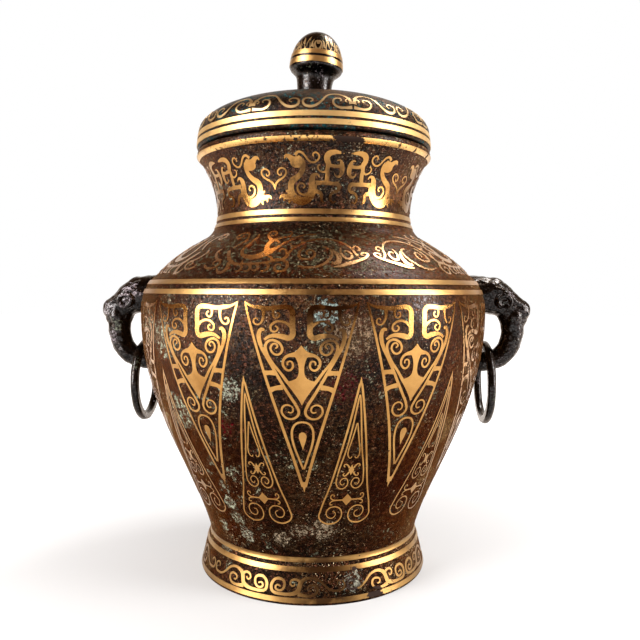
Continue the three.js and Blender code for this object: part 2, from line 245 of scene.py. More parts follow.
# %% [markdown]
# ### Zones
# Hands, sand and damp don't wear a jar evenly. A zone is a share that says how near a point is to the
# handles, to a height or to one spot. It could be painted on the vertices, but worked out from the place it
# needs no dense mesh.

# %% Zone helpers
CORE = 0.4


def axes(tree):
    """The place on the object, as outputs named X, Y and Z."""
    split = tree.nodes.new("ShaderNodeSeparateXYZ")
    tree.links.new(here(tree), split.inputs["Vector"])
    return split.outputs


def beside(tree, start, full):
    """A share that goes from 0 to 1 between two distances from the middle plane, along X in metres."""
    return window(tree, reckon(tree, "ABSOLUTE", axes(tree)["X"]), start, full)


def flank(tree, start, full):
    """A share that grows from 0 to 1 towards the handles, between two angles from the front or the back."""
    place = axes(tree)
    across, ahead = (reckon(tree, "ABSOLUTE", place[axis]) for axis in "XY")
    return window(tree, reckon(tree, "ARCTAN2", across, ahead), math.radians(start), math.radians(full))


def above(tree, start, full, least=0.0):
    """A share that goes from the least to 1 between two heights in metres."""
    return window(tree, axes(tree)["Z"], start, full, least, 1)


def near(tree, centre, radius):
    """A share that is 1 round a point and fades out at a radius, in millimetres."""
    gap = tree.nodes.new("ShaderNodeVectorMath")
    gap.operation = "DISTANCE"
    tree.links.new(here(tree), gap.inputs[0])
    gap.inputs[1].default_value = Vector(centre) * MM
    return window(tree, gap.outputs["Value"], radius * MM, CORE * radius * MM)


print("zone helpers:", *[helper.__name__ for helper in (beside, flank, above, near)])

# %% [markdown]
# ### Bare bronze
# Under its crusts the bronze is dark with brown clouds, red and grey flecks and black pits. Towards the two
# handles it was touched most, and its skin there is a warm brown: partly rubbed, and partly a painted warm
# reflection of a brown room. A single noise would give all of this one grain, so each has a noise of its own
# size, from clouds as wide as a thumb down to flecks of a millimetre.

# %% Bare bronze
# The warm brown towards the handles is partly rubbing and partly a painted warm reflection of a brown room.
RUBBED_AND_WARM_REFLECTION = (0.14, 0.052, 0.016)
RED_FLECK = (0.13, 0.045, 0.026)
GREY_FLECK = (0.11, 0.082, 0.046)
PIT = (0.003, 0.002, 0.0015)
BROWN_CLOUDS = (38, 6, 0.6, 0.4, 0.62)
RUB_AND_REFLECTION_MOTTLE = (170, 8, 0.75, 0.4, 0.6)
LEAST_RUB_AND_REFLECTION = 0.25
FLECK_HUE = (150, 5, 0.6, 0.48, 0.58)
FLECKS = (1000, 7, 0.85, 0.54, 0.58)
PITS = (700, 9, 0.8, 0.46, 0.54)


def bare_bronze(tree, dark, brown, side, flecked):
    """The metal's colour. Side is the share of rubbing and painted warm reflection, flecked how strong flecks
    are.
    """
    colour = tint(tree, veil(tree, BROWN_CLOUDS), dark, brown)
    # Painted warm reflection with rubbing: the mottled side share lays the warm brown on.
    rub_and_reflection_share = reckon(tree, "MULTIPLY", side, veil(tree, RUB_AND_REFLECTION_MOTTLE, LEAST_RUB_AND_REFLECTION))
    colour = tint(tree, rub_and_reflection_share, colour, RUBBED_AND_WARM_REFLECTION)
    fleck = tint(tree, veil(tree, FLECK_HUE), RED_FLECK, GREY_FLECK)
    colour = tint(tree, veil(tree, FLECKS, 0, flecked), colour, fleck)
    return tint(tree, veil(tree, PITS), colour, PIT)


for label, recipe in (("brown clouds", BROWN_CLOUDS), ("flecks", FLECKS), ("pits", PITS)):
    print(label, "of about", round(1 / recipe[0] / MM, 1), "mm")

# %% [markdown]
# ### Patina
# Crusts, ochre and dust lie on the metal in flakes with crisp edges. A soft blend would look like mist, so
# we cut a fine noise off at a steep step, and let a zone lower the step where the flakes are to be dense.
# Ochre lies towards the handles, dust on the sloping shoulder, and pale grains drift over everything.

# %% Patina
PALE_GRAIN = (0.48, 0.38, 0.23)
OCHRE = (0.2, 0.125, 0.055)
DUST = (0.09, 0.08, 0.045)
SPECKLE = (700, 8, 0.75)
DRIFT = (34, 5, 0.7, 0.42, 0.62)
CRISP = 0.03
PATCH_FLAKES, CRUST_FLAKES = (0.7, 0.19), (0.72, 0.22)
OCHRE_FLAKES, DUST_FLAKES = (0.72, 0.18), (0.72, 0.2)
PALE_SPARSE, PALE_PULL = 0.69, 0.09
OCHRE_ANGLES = (30, 62)
SHOULDER_FOOT, SHOULDER_TOP = (0.112, 0.12), (0.142, 0.133)


def flakes(tree, speckle, zone, sparse, pull):
    """A share of crisp flakes where a fine noise is above sparse, or in the zone above sparse less pull."""
    denser = reckon(tree, "ADD", speckle, window(tree, zone, 0, 1, 0, pull))
    return window(tree, denser, sparse, sparse + CRISP)


def patina(tree, fine, patches, crusts_and_sheen, ochre, dusty, grainy):
    """The layers on the metal from the lowest up, each as (colour, share)."""
    speckle = clouds(tree, *SPECKLE)
    layers = [(over, flakes(tree, speckle, veil(tree, recipe), *PATCH_FLAKES)) for over, recipe in patches]
    for over, centre, radius in crusts_and_sheen:
        layers.append((over, flakes(tree, speckle, near(tree, centre, radius), *CRUST_FLAKES)))
    if ochre:
        layers.append((OCHRE, flakes(tree, speckle, flank(tree, *OCHRE_ANGLES), *OCHRE_FLAKES)))
    if dusty:
        shoulder = reckon(tree, "MULTIPLY", above(tree, *SHOULDER_FOOT), above(tree, *SHOULDER_TOP))
        layers.append((DUST, flakes(tree, speckle, shoulder, *DUST_FLAKES)))
    layers.append((PALE_GRAIN, flakes(tree, fine, veil(tree, DRIFT), PALE_SPARSE, PALE_PULL * grainy)))
    return layers


print("flakes of about", round(1 / SPECKLE[0] / MM, 1), "mm, ochre from", OCHRE_ANGLES[0], "degrees")

# %% [markdown]
# ### Bronze
# Now the layers meet in one shader. Crusts aren't metal, so each layer also lowers the metallic share, and
# each is darker in its hollows. A grain of about half a millimetre breaks up the colour. Old bronze is
# often waxed, and the wax is a coat: broken by the fine noise that also roughens the metal, and on the
# vessel worn thin at the sides and low on the belly.

# %% Bronze finish
METAL, CRUST = (0.96, 0.96, 0.96), (0.05, 0.05, 0.05)
CRUST_SHADE = 0.3
RUB_AND_REFLECTION_ANGLES = (36, 74)
FINE = (1450, 5, 0.7)
CRUST_TONES, POLISH, FILM = (0.42, 0.6), (0.35, 0.7), (0.42, 0.62)
GRAIN = (1900, 3, 0.8, 0.38, 0.62)
GRAIN_DARK, GRAIN_LIGHT = 0.75, 0.85
WAXED_MIDDLE, WAXED_TOP = (0.064, 0.044), (0.065, 0.1, 0.1)


def wax_film(tree, fine, wax, worn):
    """A broken film of wax, from none to twice the given wax, and thinner where it is worn."""
    film = window(tree, fine, *FILM, 0, 2 * wax)
    if worn:
        film = reckon(tree, "MULTIPLY", film, beside(tree, *WAXED_MIDDLE))
        film = reckon(tree, "MULTIPLY", film, above(tree, *WAXED_TOP))
    return film


def bronze_finish(
    name,
    dark,
    brown,
    patches,
    crusts_and_sheen=(),
    rub_and_reflection=0.0,
    dusty=False,
    grainy=1.0,
    flecked=1.0,
    wax=0.2,
    wax_gloss=0.36,
    gloss=(0.26, 0.5),
    bumps=0.3 * MM,
    edge=(0.9, 0.78, 0.68),
):
    """Patinated bronze under a broken film of wax. Patches are (colour, noise recipe), and crusts and
    painted sheen spots are (colour, centre, radius). Gloss is the range of the roughness, and edge the tint
    at a grazing angle."""
    material, tree, shader = finish(name)
    fine = clouds(tree, *FINE)
    # Towards the handles the side share paints a warm reflection along with the rubbing, and lowers the
    # metallic share.
    side = window(tree, flank(tree, *RUB_AND_REFLECTION_ANGLES), 0, 1, 0, rub_and_reflection)
    colour = bare_bronze(tree, dark, brown, side, flecked)
    metal = tint(tree, side, METAL, CRUST)
    for over, share in patina(tree, fine, patches, crusts_and_sheen, rub_and_reflection > 0, dusty, grainy):
        hollow = tuple(CRUST_SHADE * part for part in over)
        colour = tint(tree, share, colour, tint(tree, window(tree, fine, *CRUST_TONES), hollow, over))
        metal = tint(tree, share, metal, CRUST)
    grain = veil(tree, GRAIN, 1 - GRAIN_DARK * grainy, 1 + GRAIN_LIGHT * grainy)
    tree.links.new(shaded(tree, colour, grain), shader.inputs["Base Color"])
    tree.links.new(metal, shader.inputs["Metallic"])
    tree.links.new(window(tree, fine, *POLISH, *gloss), shader.inputs["Roughness"])
    relief(tree, shader, fine, bumps)
    tree.links.new(wax_film(tree, fine, wax, rub_and_reflection > 0), shader.inputs["Coat Weight"])
    shader.inputs["Coat Roughness"].default_value = wax_gloss
    shader.inputs["Specular Tint"].default_value = (*edge, 1)
    shader.inputs["Specular IOR Level"].default_value = 0.0
    print(name, "has", len(tree.nodes), "nodes")
    return material


print("grain of about", round(1 / GRAIN[0] / MM, 1), "mm")

# %% [markdown]
# ### The jar's bronze
# The vessel has the richest patina: cuprite red, green, and crusts of its own here and there on the front.
# Each crust is a spot with a radius, given where the real jar has one, and the flakes give it its
# outline.

# %% The jar's bronze
CUPRITE = ((0.08, 0.01, 0.009), (55, 6, 0.7, 0.56, 0.68))
GREEN = ((0.26, 0.27, 0.19), (110, 6, 0.7, 0.5, 0.64))
# A warm tint on the vessel's reflections at grazing angles: a painted warm reflection of brown surroundings.
WARM_REFLECTION_TINT = (0.88, 0.5, 0.27)
SAND = (0.36, 0.29, 0.2)
VERDIGRIS = (0.36, 0.38, 0.28)
# Crusts, and one spot of painted sheen, as (colour, centre, radius) in millimetres.
JAR_CRUSTS_AND_SHEEN = [
    ((0.26, 0.18, 0.11), (16.6, -67.9, 98.5), 14),
    ((0.26, 0.34, 0.32), (8, -69.6, 106), 8),
    (SAND, (6, -46, 28), 9),
    (SAND, (-9, -44, 23.5), 6),
    (SAND, (-2.3, -45, 27), 7),
    ((0.34, 0.36, 0.28), (-24.7, -62.6, 80), 8),
    ((0.09, 0.008, 0.01), (-25.8, -56.2, 67), 6),
    ((0.08, 0.008, 0.01), (13.9, -66.3, 82), 10),
    ((0.32, 0.33, 0.24), (-50, -48, 96), 14),
    ((0.34, 0.32, 0.23), (-57, -37, 99), 13),
    ((0.32, 0.24, 0.14), (-54, -30, 65), 12),
    ((0.28, 0.18, 0.08), (52, -35, 62), 12),
    ((0.26, 0.16, 0.07), (45, -32, 43), 10),
    ((0.3, 0.32, 0.23), (-45, -46, 70), 12),
    (VERDIGRIS, (-28.6, -42, 43), 6),
    (VERDIGRIS, (-27.4, -40.6, 36), 6),
    (VERDIGRIS, (-25, -39, 29), 6),
    (VERDIGRIS, (-32, -32, 24), 5),
    ((0.36, 0.36, 0.27), (-21.7, -38.8, 23), 6),
    # This lilac-grey spot is a painted sheen, not a crust.
    ((0.2, 0.17, 0.17), (40, -56, 108), 10),
    ((0.3, 0.32, 0.25), (-36, -18, 152), 9),
    ((0.24, 0.1, 0.045), (34, -24, 152), 12),
    ((0.3, 0.3, 0.24), (17.8, -43.2, 8), 8),
]
bronze = bronze_finish(
    "patinated_bronze",
    (0.0095, 0.0045, 0.002),
    (0.04, 0.0155, 0.0055),
    [CUPRITE, GREEN],
    JAR_CRUSTS_AND_SHEEN,
    rub_and_reflection=0.62,
    dusty=True,
    edge=WARM_REFLECTION_TINT,
)

# %% [markdown]
# ### The lid's and the handles' bronze
# The lid is cooler, with teal patches and little wax. The handles are almost black and glossy from hands,
# with mossy traces and lilac patches that are a painted sheen. They are the same function with other
# amounts, so all the bronze looks like one metal.

# %% The lid's and the handles' bronze
TEAL = ((0.014, 0.075, 0.085), (80, 6, 0.7, 0.42, 0.58))
# The lilac patches are a painted sheen, not a crust.
LILAC_SHEEN = ((0.2, 0.165, 0.18), (150, 6, 0.7, 0.5, 0.62))
MOSS = ((0.1, 0.11, 0.08), (120, 6, 0.7, 0.5, 0.62))
# The lilac spots on the handles' heads are a painted sheen; the green spot is a crust.
HANDLE_CRUSTS_AND_SHEEN = [
    ((0.36, 0.31, 0.34), (-75, -7, 112), 8),
    ((0.38, 0.34, 0.35), (-86, -4, 105), 5),
    ((0.24, 0.26, 0.2), (-82, -5, 98), 5),
    ((0.26, 0.23, 0.25), (80, -6, 112), 5),
]
lid_bronze = bronze_finish(
    "lid_bronze", (0.007, 0.005, 0.004), (0.026, 0.012, 0.007), [CUPRITE, TEAL], grainy=0.6, wax=0.1
)
dark_bronze = bronze_finish(
    "dark_bronze",
    (0.006, 0.0045, 0.004),
    (0.018, 0.011, 0.009),
    [LILAC_SHEEN, MOSS],
    HANDLE_CRUSTS_AND_SHEEN,
    grainy=0.3,
    flecked=0.15,
    wax=0.5,
    wax_gloss=0.2,
    gloss=(0.16, 0.32),
    bumps=0.1 * MM,
)

# %% [markdown]
# ### Gold
# Gold doesn't rust, but it dulls in clouds, and thin strips wear through to the recess below. Towards the
# handles it browns, partly tarnish and partly a painted warm reflection, and darker spots on the front add
# soot together with painted shade. An even metal colour would look like paint, so noise dulls it and, above
# a limit, takes it away. Listed spots add soot and wear. The tone of the gold differs from part to part, and
# the foot's gold is a darker copy: painted shade for bands that face a little upward into the softboxes.

# %% Gold finish
# The brown towards the handles is partly tarnish and partly a painted warm reflection of brown surroundings.
BROWN_AND_WARM_REFLECTION, BROWN_AND_REFLECTION_SHARE = (0.5, 0.25, 0.09), 0.7
# The soot colour also serves as painted shade on the front of the gold.
SOOT_AND_SHADE = (0.085, 0.042, 0.016)
# At the sides the bare recess is a warm brown, partly rubbed bronze and partly painted warm reflection.
BARE_FRONT, BARE_SIDE, BARE_METAL = (0.036, 0.024, 0.02), (0.1, 0.042, 0.014), 0.05
GOLD_SIDE = (0.048, 0.066)
DULL_CLOUDS = (90, 5, 0.6, 0.35, 0.7)
SMOKE_AND_SHADE_CLOUDS = (130, 6, 0.6, 0.32, 0.5)
WEAR = (300, 7, 0.75)
WORN_PULL, WORN_STEP = 0.3, 0.04
HAMMERED, HAMMERED_RANGE, HAMMERED_DEPTH = (800, 6, 0.7), (0.3, 0.7), 0.04 * MM
# Darker spots on the front gold: partly soot and tarnish, partly painted shade of the dark room it mirrors.
TARNISH_AND_SHADE_SPOTS = [
    ((8, -69, 104), 17),
    ((9.8, -39.3, 151), 13),
    ((-2.6, -41.3, 155), 9),
    ((2, -44, 14), 15),
    ((8, -46, 3), 13),
]
WORN = [((14.6, -45.3, 165), 7), ((17.8, -43.2, 8), 6), ((25.8, -39.5, 2), 4)]


def gold_finish(name, bright, dull, wear, side_wear=0.0, gloss=(0.22, 0.36)):
    """Burnished gold, dulled in clouds and worn through where the noise is above wear. Side_wear is added to
    that noise at the sides, and gloss is the range of the roughness."""
    material, tree, shader = finish(name)
    side = beside(tree, *GOLD_SIDE)
    colour = tint(tree, veil(tree, DULL_CLOUDS), bright, dull)
    # Painted warm reflection with tarnish: the gold browns towards the handles.
    colour = tint(tree, window(tree, side, 0, 1, 0, BROWN_AND_REFLECTION_SHARE), colour, BROWN_AND_WARM_REFLECTION)
    smoke_and_shade = veil(tree, SMOKE_AND_SHADE_CLOUDS)
    # Painted shade with soot: the front spots darken the gold in clouds.
    for centre, radius in TARNISH_AND_SHADE_SPOTS:
        colour = tint(tree, reckon(tree, "MULTIPLY", near(tree, centre, radius), smoke_and_shade), colour, SOOT_AND_SHADE)
    rough = reckon(tree, "ADD", clouds(tree, *WEAR), window(tree, side, 0, 1, 0, side_wear))
    for centre, radius in WORN:
        spot = window(tree, near(tree, centre, radius), 0, 1, 0, WORN_PULL)
        rough = reckon(tree, "ADD", rough, spot)
    gone = window(tree, rough, wear, wear + WORN_STEP)
    colour = tint(tree, gone, colour, tint(tree, side, BARE_FRONT, BARE_SIDE))
    tree.links.new(colour, shader.inputs["Base Color"])
    tree.links.new(window(tree, gone, 0, 1, 1, BARE_METAL), shader.inputs["Metallic"])
    shader.inputs["Specular IOR Level"].default_value = 0.0
    hammered = clouds(tree, *HAMMERED)
    tree.links.new(window(tree, hammered, *HAMMERED_RANGE, *gloss), shader.inputs["Roughness"])
    relief(tree, shader, hammered, HAMMERED_DEPTH)
    print(name, "has", len(tree.nodes), "nodes")
    return material


gold = gold_finish("inlaid_gold", (0.51, 0.275, 0.085), (0.31, 0.145, 0.038), 0.64, 0.22, (0.14, 0.26))
band_gold = gold_finish("band_gold", (0.6, 0.365, 0.135), (0.4, 0.22, 0.072), 0.65, gloss=(0.28, 0.42))
# The foot's gold is a darker copy of the bands' gold: painted shade for bands that face a little upward into
# the softboxes.
shaded_foot_gold = gold_finish("shaded_foot_gold", (0.43, 0.25, 0.085), (0.26, 0.135, 0.042), 0.62, gloss=(0.28, 0.42))
lid_band_gold = gold_finish("lid_band_gold", (0.72, 0.48, 0.2), (0.56, 0.34, 0.12), 0.65, gloss=(0.4, 0.52))
pale_gold = gold_finish("lid_gold", (0.58, 0.4, 0.19), (0.38, 0.24, 0.1), 0.62, gloss=(0.36, 0.5))
mouth_gold = gold_finish("mouth_gold", (0.8, 0.48, 0.16), (0.5, 0.27, 0.09), 0.56)
thin_gold = gold_finish("rubbed_gold", (0.6, 0.35, 0.15), (0.38, 0.21, 0.09), 0.6, 0.1)

# %% [markdown]
# ## Pieces
# A bmesh is only a sketch of a shape. This helper turns it into an object, smooths all but its sharp edges,
# and says which body carries it and which finish slot it has, and hides the CAD nodes it stands for.


# %% Piece helper
def add_piece(name, bm, material, body, nodes=(), sharp=40):
    """The bmesh as an object on a body, in place of the named CAD nodes."""
    bmesh.ops.recalc_face_normals(bm, faces=bm.faces)
    mesh = bpy.data.meshes.new(name)
    bm.to_mesh(mesh)
    bm.free()
    mesh.materials.append(material)
    mesh.shade_smooth()
    mesh.set_sharp_from_angle(angle=math.radians(sharp))
    piece = bpy.data.objects.new(name, mesh)
    bpy.context.scene.collection.objects.link(piece)
    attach(piece, body)
    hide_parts(*nodes)
    print(name, len(mesh.polygons), "faces")
    return piece


# %% [markdown]
# ## Vessel
# The vessel, cast in one with its foot and neck, is a body of revolution. A Screw modifier on a curve could
# make it, but bmesh's spin gives a plain mesh at once, with its ends merged. The profile goes round the
# inside face too, because the inside shows when the lid is lifted. The skin lies a quarter of a millimetre
# inside the CAD outline, which leaves room for the gold on top.

# %% Vessel
SAME_VERTEX = 1e-6
SKIN = 0.25
FOOT_RIM, FOOT_HOLLOW, FOOT_CEILING = 41.6, 37.6, 13.0
WALL, FLOOR_TOP, FLOOR_RADIUS, FLOOR_ROUNDING = 3.2, 16.6, 39.6, 3.0
BORE, BORE_FOOT, NECK_INSIDE, MOUTH = 41.6, 160.1, 156.0, 168.6
LIP, LIP_DROP = 0.6, 0.1


def spun(profile, steps=160):
    """A closed (radius, height) profile in millimetres, spun about Z."""
    bm = bmesh.new()
    rim = [bm.verts.new((p[0] * MM, 0, p[1] * MM)) for p in profile]
    edges = [bm.edges.new(pair) for pair in zip(rim, rim[1:] + rim[:1])]
    bmesh.ops.spin(
        bm, geom=rim + edges, axis=(0, 0, 1), cent=(0, 0, 0), angle=math.tau, steps=steps, use_merge=True
    )
    bmesh.ops.remove_doubles(bm, verts=bm.verts, dist=SAME_VERTEX)
    return bm


vessel_skin = [vessel_line.at(s, -SKIN) for s in vessel_line.lengths]
vessel_skin[0].y = 0
vessel_profile = [
    (0, FOOT_CEILING),
    (FOOT_HOLLOW, FOOT_CEILING),
    (FOOT_RIM, 0),
    *vessel_skin,
    (BORE + LIP, MOUTH - LIP_DROP),
    (BORE, MOUTH - LIP_DROP - LIP),
    (BORE, BORE_FOOT),
    *vessel_line.inner(WALL, FLOOR_TOP + FLOOR_ROUNDING, NECK_INSIDE),
    (FLOOR_RADIUS, FLOOR_TOP),
    (0, FLOOR_TOP),
]
add_piece("jar_vessel", spun(vessel_profile), bronze, "jar", ["vessel"])

# %% [markdown]
# ## Lid
# The lid is a domed shell with a flange that drops into the mouth, so it can't slide off. A solid cap would
# look the same when closed, but its hollow shows when it is lifted, so the profile goes round the inside as
# well. A hole in the middle takes the knob's tenon.

# %% Lid
LID_WALL, TENON_HOLE, LID_TOP = 3.0, 4.3, 190.8
CROWN_RADIUS, CROWN_INSIDE = 10.0, 188.0
DOME_LOW, DOME_HIGH = 178.0, 186.4
FLANGE_IN, FLANGE_OUT, FLANGE_FOOT, FLANGE_TOP, LID_SEAT = 38.6, 41.2, 162.0, 176.0, 168.9
lid_profile = [
    (TENON_HOLE, CROWN_INSIDE),
    (CROWN_RADIUS, CROWN_INSIDE),
    *lid_line.inner(LID_WALL, DOME_LOW, DOME_HIGH),
    (FLANGE_IN, FLANGE_TOP),
    (FLANGE_IN, FLANGE_FOOT),
    (FLANGE_OUT, FLANGE_FOOT),
    (FLANGE_OUT, LID_SEAT),
    *[lid_line.at(s, -SKIN) for s in lid_line.lengths],
    (TENON_HOLE, LID_TOP),
]
add_piece("jar_lid", spun(lid_profile), lid_bronze, "lid", ["lid"])

# %% [markdown]
# ## Knob
# The knob is a bud on a short stem. Its tenon goes through the lid and is headed over inside, like a rivet.
# On the real jar it leans a little. Turning the whole knob would lift its stem off the lid, so we bend it
# instead: a vertex turns about the stem's foot, the more the higher it lies, up to four degrees.

# %% Knob
KNOB_LEAN, KNOB_PIVOT, LEAN_RISE = math.radians(4), 193 * MM, 9 * MM
RIVET_RADIUS, RIVET_FOOT, RIVET_TOP = 6.4, 186.2, 187.6
TENON_RADIUS, TENON_FOOT, TENON_TOP = 4.0, 187.7, 191.4


def lean(bm):
    """Bends the knob a little towards +X, the way the real one leans."""
    pivot = Vector((0, 0, KNOB_PIVOT))
    for v in bm.verts:
        share = min(max((v.co.z - KNOB_PIVOT) / LEAN_RISE, 0), 1)
        turn = Matrix.Rotation(KNOB_LEAN * share, 3, "Y")
        v.co = pivot + turn @ (v.co - pivot)
    return bm


knob_profile = [
    (0, RIVET_FOOT),
    (RIVET_RADIUS, RIVET_FOOT),
    (RIVET_RADIUS, RIVET_TOP),
    (TENON_RADIUS, TENON_FOOT),
    (TENON_RADIUS, TENON_TOP),
    *[knob_line.at(s, -SKIN / 2) for s in knob_line.lengths],
]
add_piece("jar_knob", lean(spun(knob_profile, steps=64)), dark_bronze, "lid", ["knob"])

# %% [markdown]
# ## Gold bands
# The straight bands were hammered into turned grooves. A plain torus would lie across the sloping wall, so
# the section follows the outline: we take its stretch between two heights, give it a thickness and spin it.

# %% Bands
BAND_STEPS, BAND_DEPTH = 4, 0.5


def band(name, outline, low, high, body, material=band_gold, bend=None):
    """A gold ring between two heights of an outline, in place of the CAD node of that name."""
    first, last = outline.along(low), outline.along(high)
    marks = [first + (last - first) * i / BAND_STEPS for i in range(BAND_STEPS + 1)]
    section = [outline.at(s) for s in marks] + [outline.at(s, -BAND_DEPTH) for s in reversed(marks)]
    bm = spun(section, steps=128)
    if bend:
        bend(bm)
    add_piece("gold_" + name, bm, material, body, [name])


# The foot's bands take the darker foot gold, which is painted shade.
for name, low, high in [
    ("band_foot_lower", 0.9, 2.6),
    ("band_foot_middle", 11.3, 13.0),
    ("band_foot_upper", 14.4, 16.2),
]:
    band(name, vessel_line, low, high, "jar", shaded_foot_gold)
for name, low, high in [
    ("band_shoulder_lower", 111.7, 113.4),
    ("band_shoulder_upper", 115.2, 116.8),
    ("band_neck_lower", 137.8, 139.3),
    ("band_neck_upper", 140.5, 142.3),
]:
    band(name, vessel_line, low, high, "jar")
band("band_mouth", vessel_line, 164.9, 166.6, "jar", mouth_gold)
band("band_lid_lower", lid_line, 170.5, 172.4, "lid", lid_band_gold)
band("band_lid_upper", lid_line, 173.4, 175.3, "lid", lid_band_gold)
band("band_knob_lower", knob_line, 204.2, 206.4, "lid", bend=lean)
band("band_knob_upper", knob_line, 207.4, 209.2, "lid", bend=lean)

# %% [markdown]
# ## Drawing with gold
# The scrolls are thin strips, wider in the middle of a stroke and fine at its ends, like brush strokes.
# Their outlines could be cut as polygons, but a Blender curve is a better brush: its radius is the stroke's
# width, and a tilt of a quarter turn lays its ribbon flat. We draw each pattern on a flat sheet, then wrap
# the sheet round the outline. Each stroke lies a hair above the one before, so that strokes that cross
# don't flicker.

# %% Brush
LAYER = 0.003
HALF_WIDTH = 0.5


def drawn(name, strokes, weight=1.0):
    """A flat sheet of strokes in millimetres. A stroke's points are (across, along, width), and a stroke that
    leaves the middle line is drawn on both sides of it."""
    curve = bpy.data.curves.new(name, "CURVE")
    curve.dimensions = "3D"
    curve.twist_mode = "Z_UP"
    curve.extrude = HALF_WIDTH
    curve.resolution_u = 4
    for points in strokes:
        sides = (1, -1) if any(across for across, along, width in points) else (1,)
        for side in sides:
            level = LAYER * len(curve.splines)
            spline = curve.splines.new("BEZIER")
            spline.bezier_points.add(len(points) - 1)
            for knot, (across, along, width) in zip(spline.bezier_points, points):
                knot.co = (side * across, along, level)
                knot.radius = width * weight
                knot.tilt = math.pi / 2
                knot.handle_left_type = knot.handle_right_type = "AUTO"
    holder = bpy.data.objects.new(name, curve)
    sheet = bpy.data.meshes.new_from_object(holder)
    bpy.data.objects.remove(holder)
    print(name, len(strokes), "strokes,", len(sheet.polygons), "faces on the flat sheet")
    return sheet


print("each stroke lies", LAYER, "mm above the one before")

# %% [markdown]
# ### Wrapping
# A strip stands a little proud of the bronze and goes down into it, so we give the sheet a thickness before
# it is bent. Long edges are divided first, or they would cut through the round wall.

# %% Wrap
SINK, DEPTH = 0.12, 0.3
LONG_EDGE, CUTS = 2.2, 2


def wrapped(sheet, outline, reference, angles, foot=0.0):
    """Copies of a flat sheet laid on an outline at some angles. A millimetre across the sheet is a millimetre
    round the jar where the radius is the reference."""
    bm = bmesh.new()
    bm.from_mesh(sheet)
    wide = [e for e in bm.edges if e.calc_length() > LONG_EDGE]
    bmesh.ops.subdivide_edges(bm, edges=wide, cuts=CUTS, use_grid_fill=True)
    bmesh.ops.solidify(bm, geom=bm.faces[:], thickness=DEPTH)
    low = min(v.co.z for v in bm.verts) + DEPTH
    one = bpy.data.meshes.new("one")
    bm.to_mesh(one)
    bm.clear()
    for angle in angles:
        done = len(bm.verts)
        bm.from_mesh(one)
        bm.verts.ensure_lookup_table()
        for v in bm.verts[done:]:
            v.co = outline.place(angle + v.co.x / reference, foot + v.co.y, v.co.z - low - SINK)
    bpy.data.meshes.remove(one)
    return bm


def around(count, turn=0.0):
    """Angles that share out the whole way round, the first one at a turn from the front."""
    return [turn + math.tau * k / count for k in range(count)]


print("strips stand", round(SKIN - SINK, 2), "mm proud of the bronze and are", DEPTH, "mm thick")

# %% [markdown]
# ## Hanging blades
# Eleven long blades hang from the shoulder. Inside a V-shaped frame each holds two square brackets with
# curls, a palmette on a solid triangle, two scrolls and a drop. The two halves mirror, so we draw only one,
# and each blade is a piece of its own because each has its own recess.

# %% Hanging blades
BLADES = 11
BELLY_REFERENCE = 60.0


def blades(kind, strokes, weight, turn):
    """The blades of one kind, each in place of its CAD frame."""
    sheet = drawn(kind + "_blade", strokes, weight)
    for number, angle in enumerate(around(BLADES, turn), 1):
        name = f"{kind}_{number:02d}"
        blade = wrapped(sheet, vessel_line, BELLY_REFERENCE, [angle])
        add_piece("gold_" + name, blade, gold, "jar", ["blade_" + name])


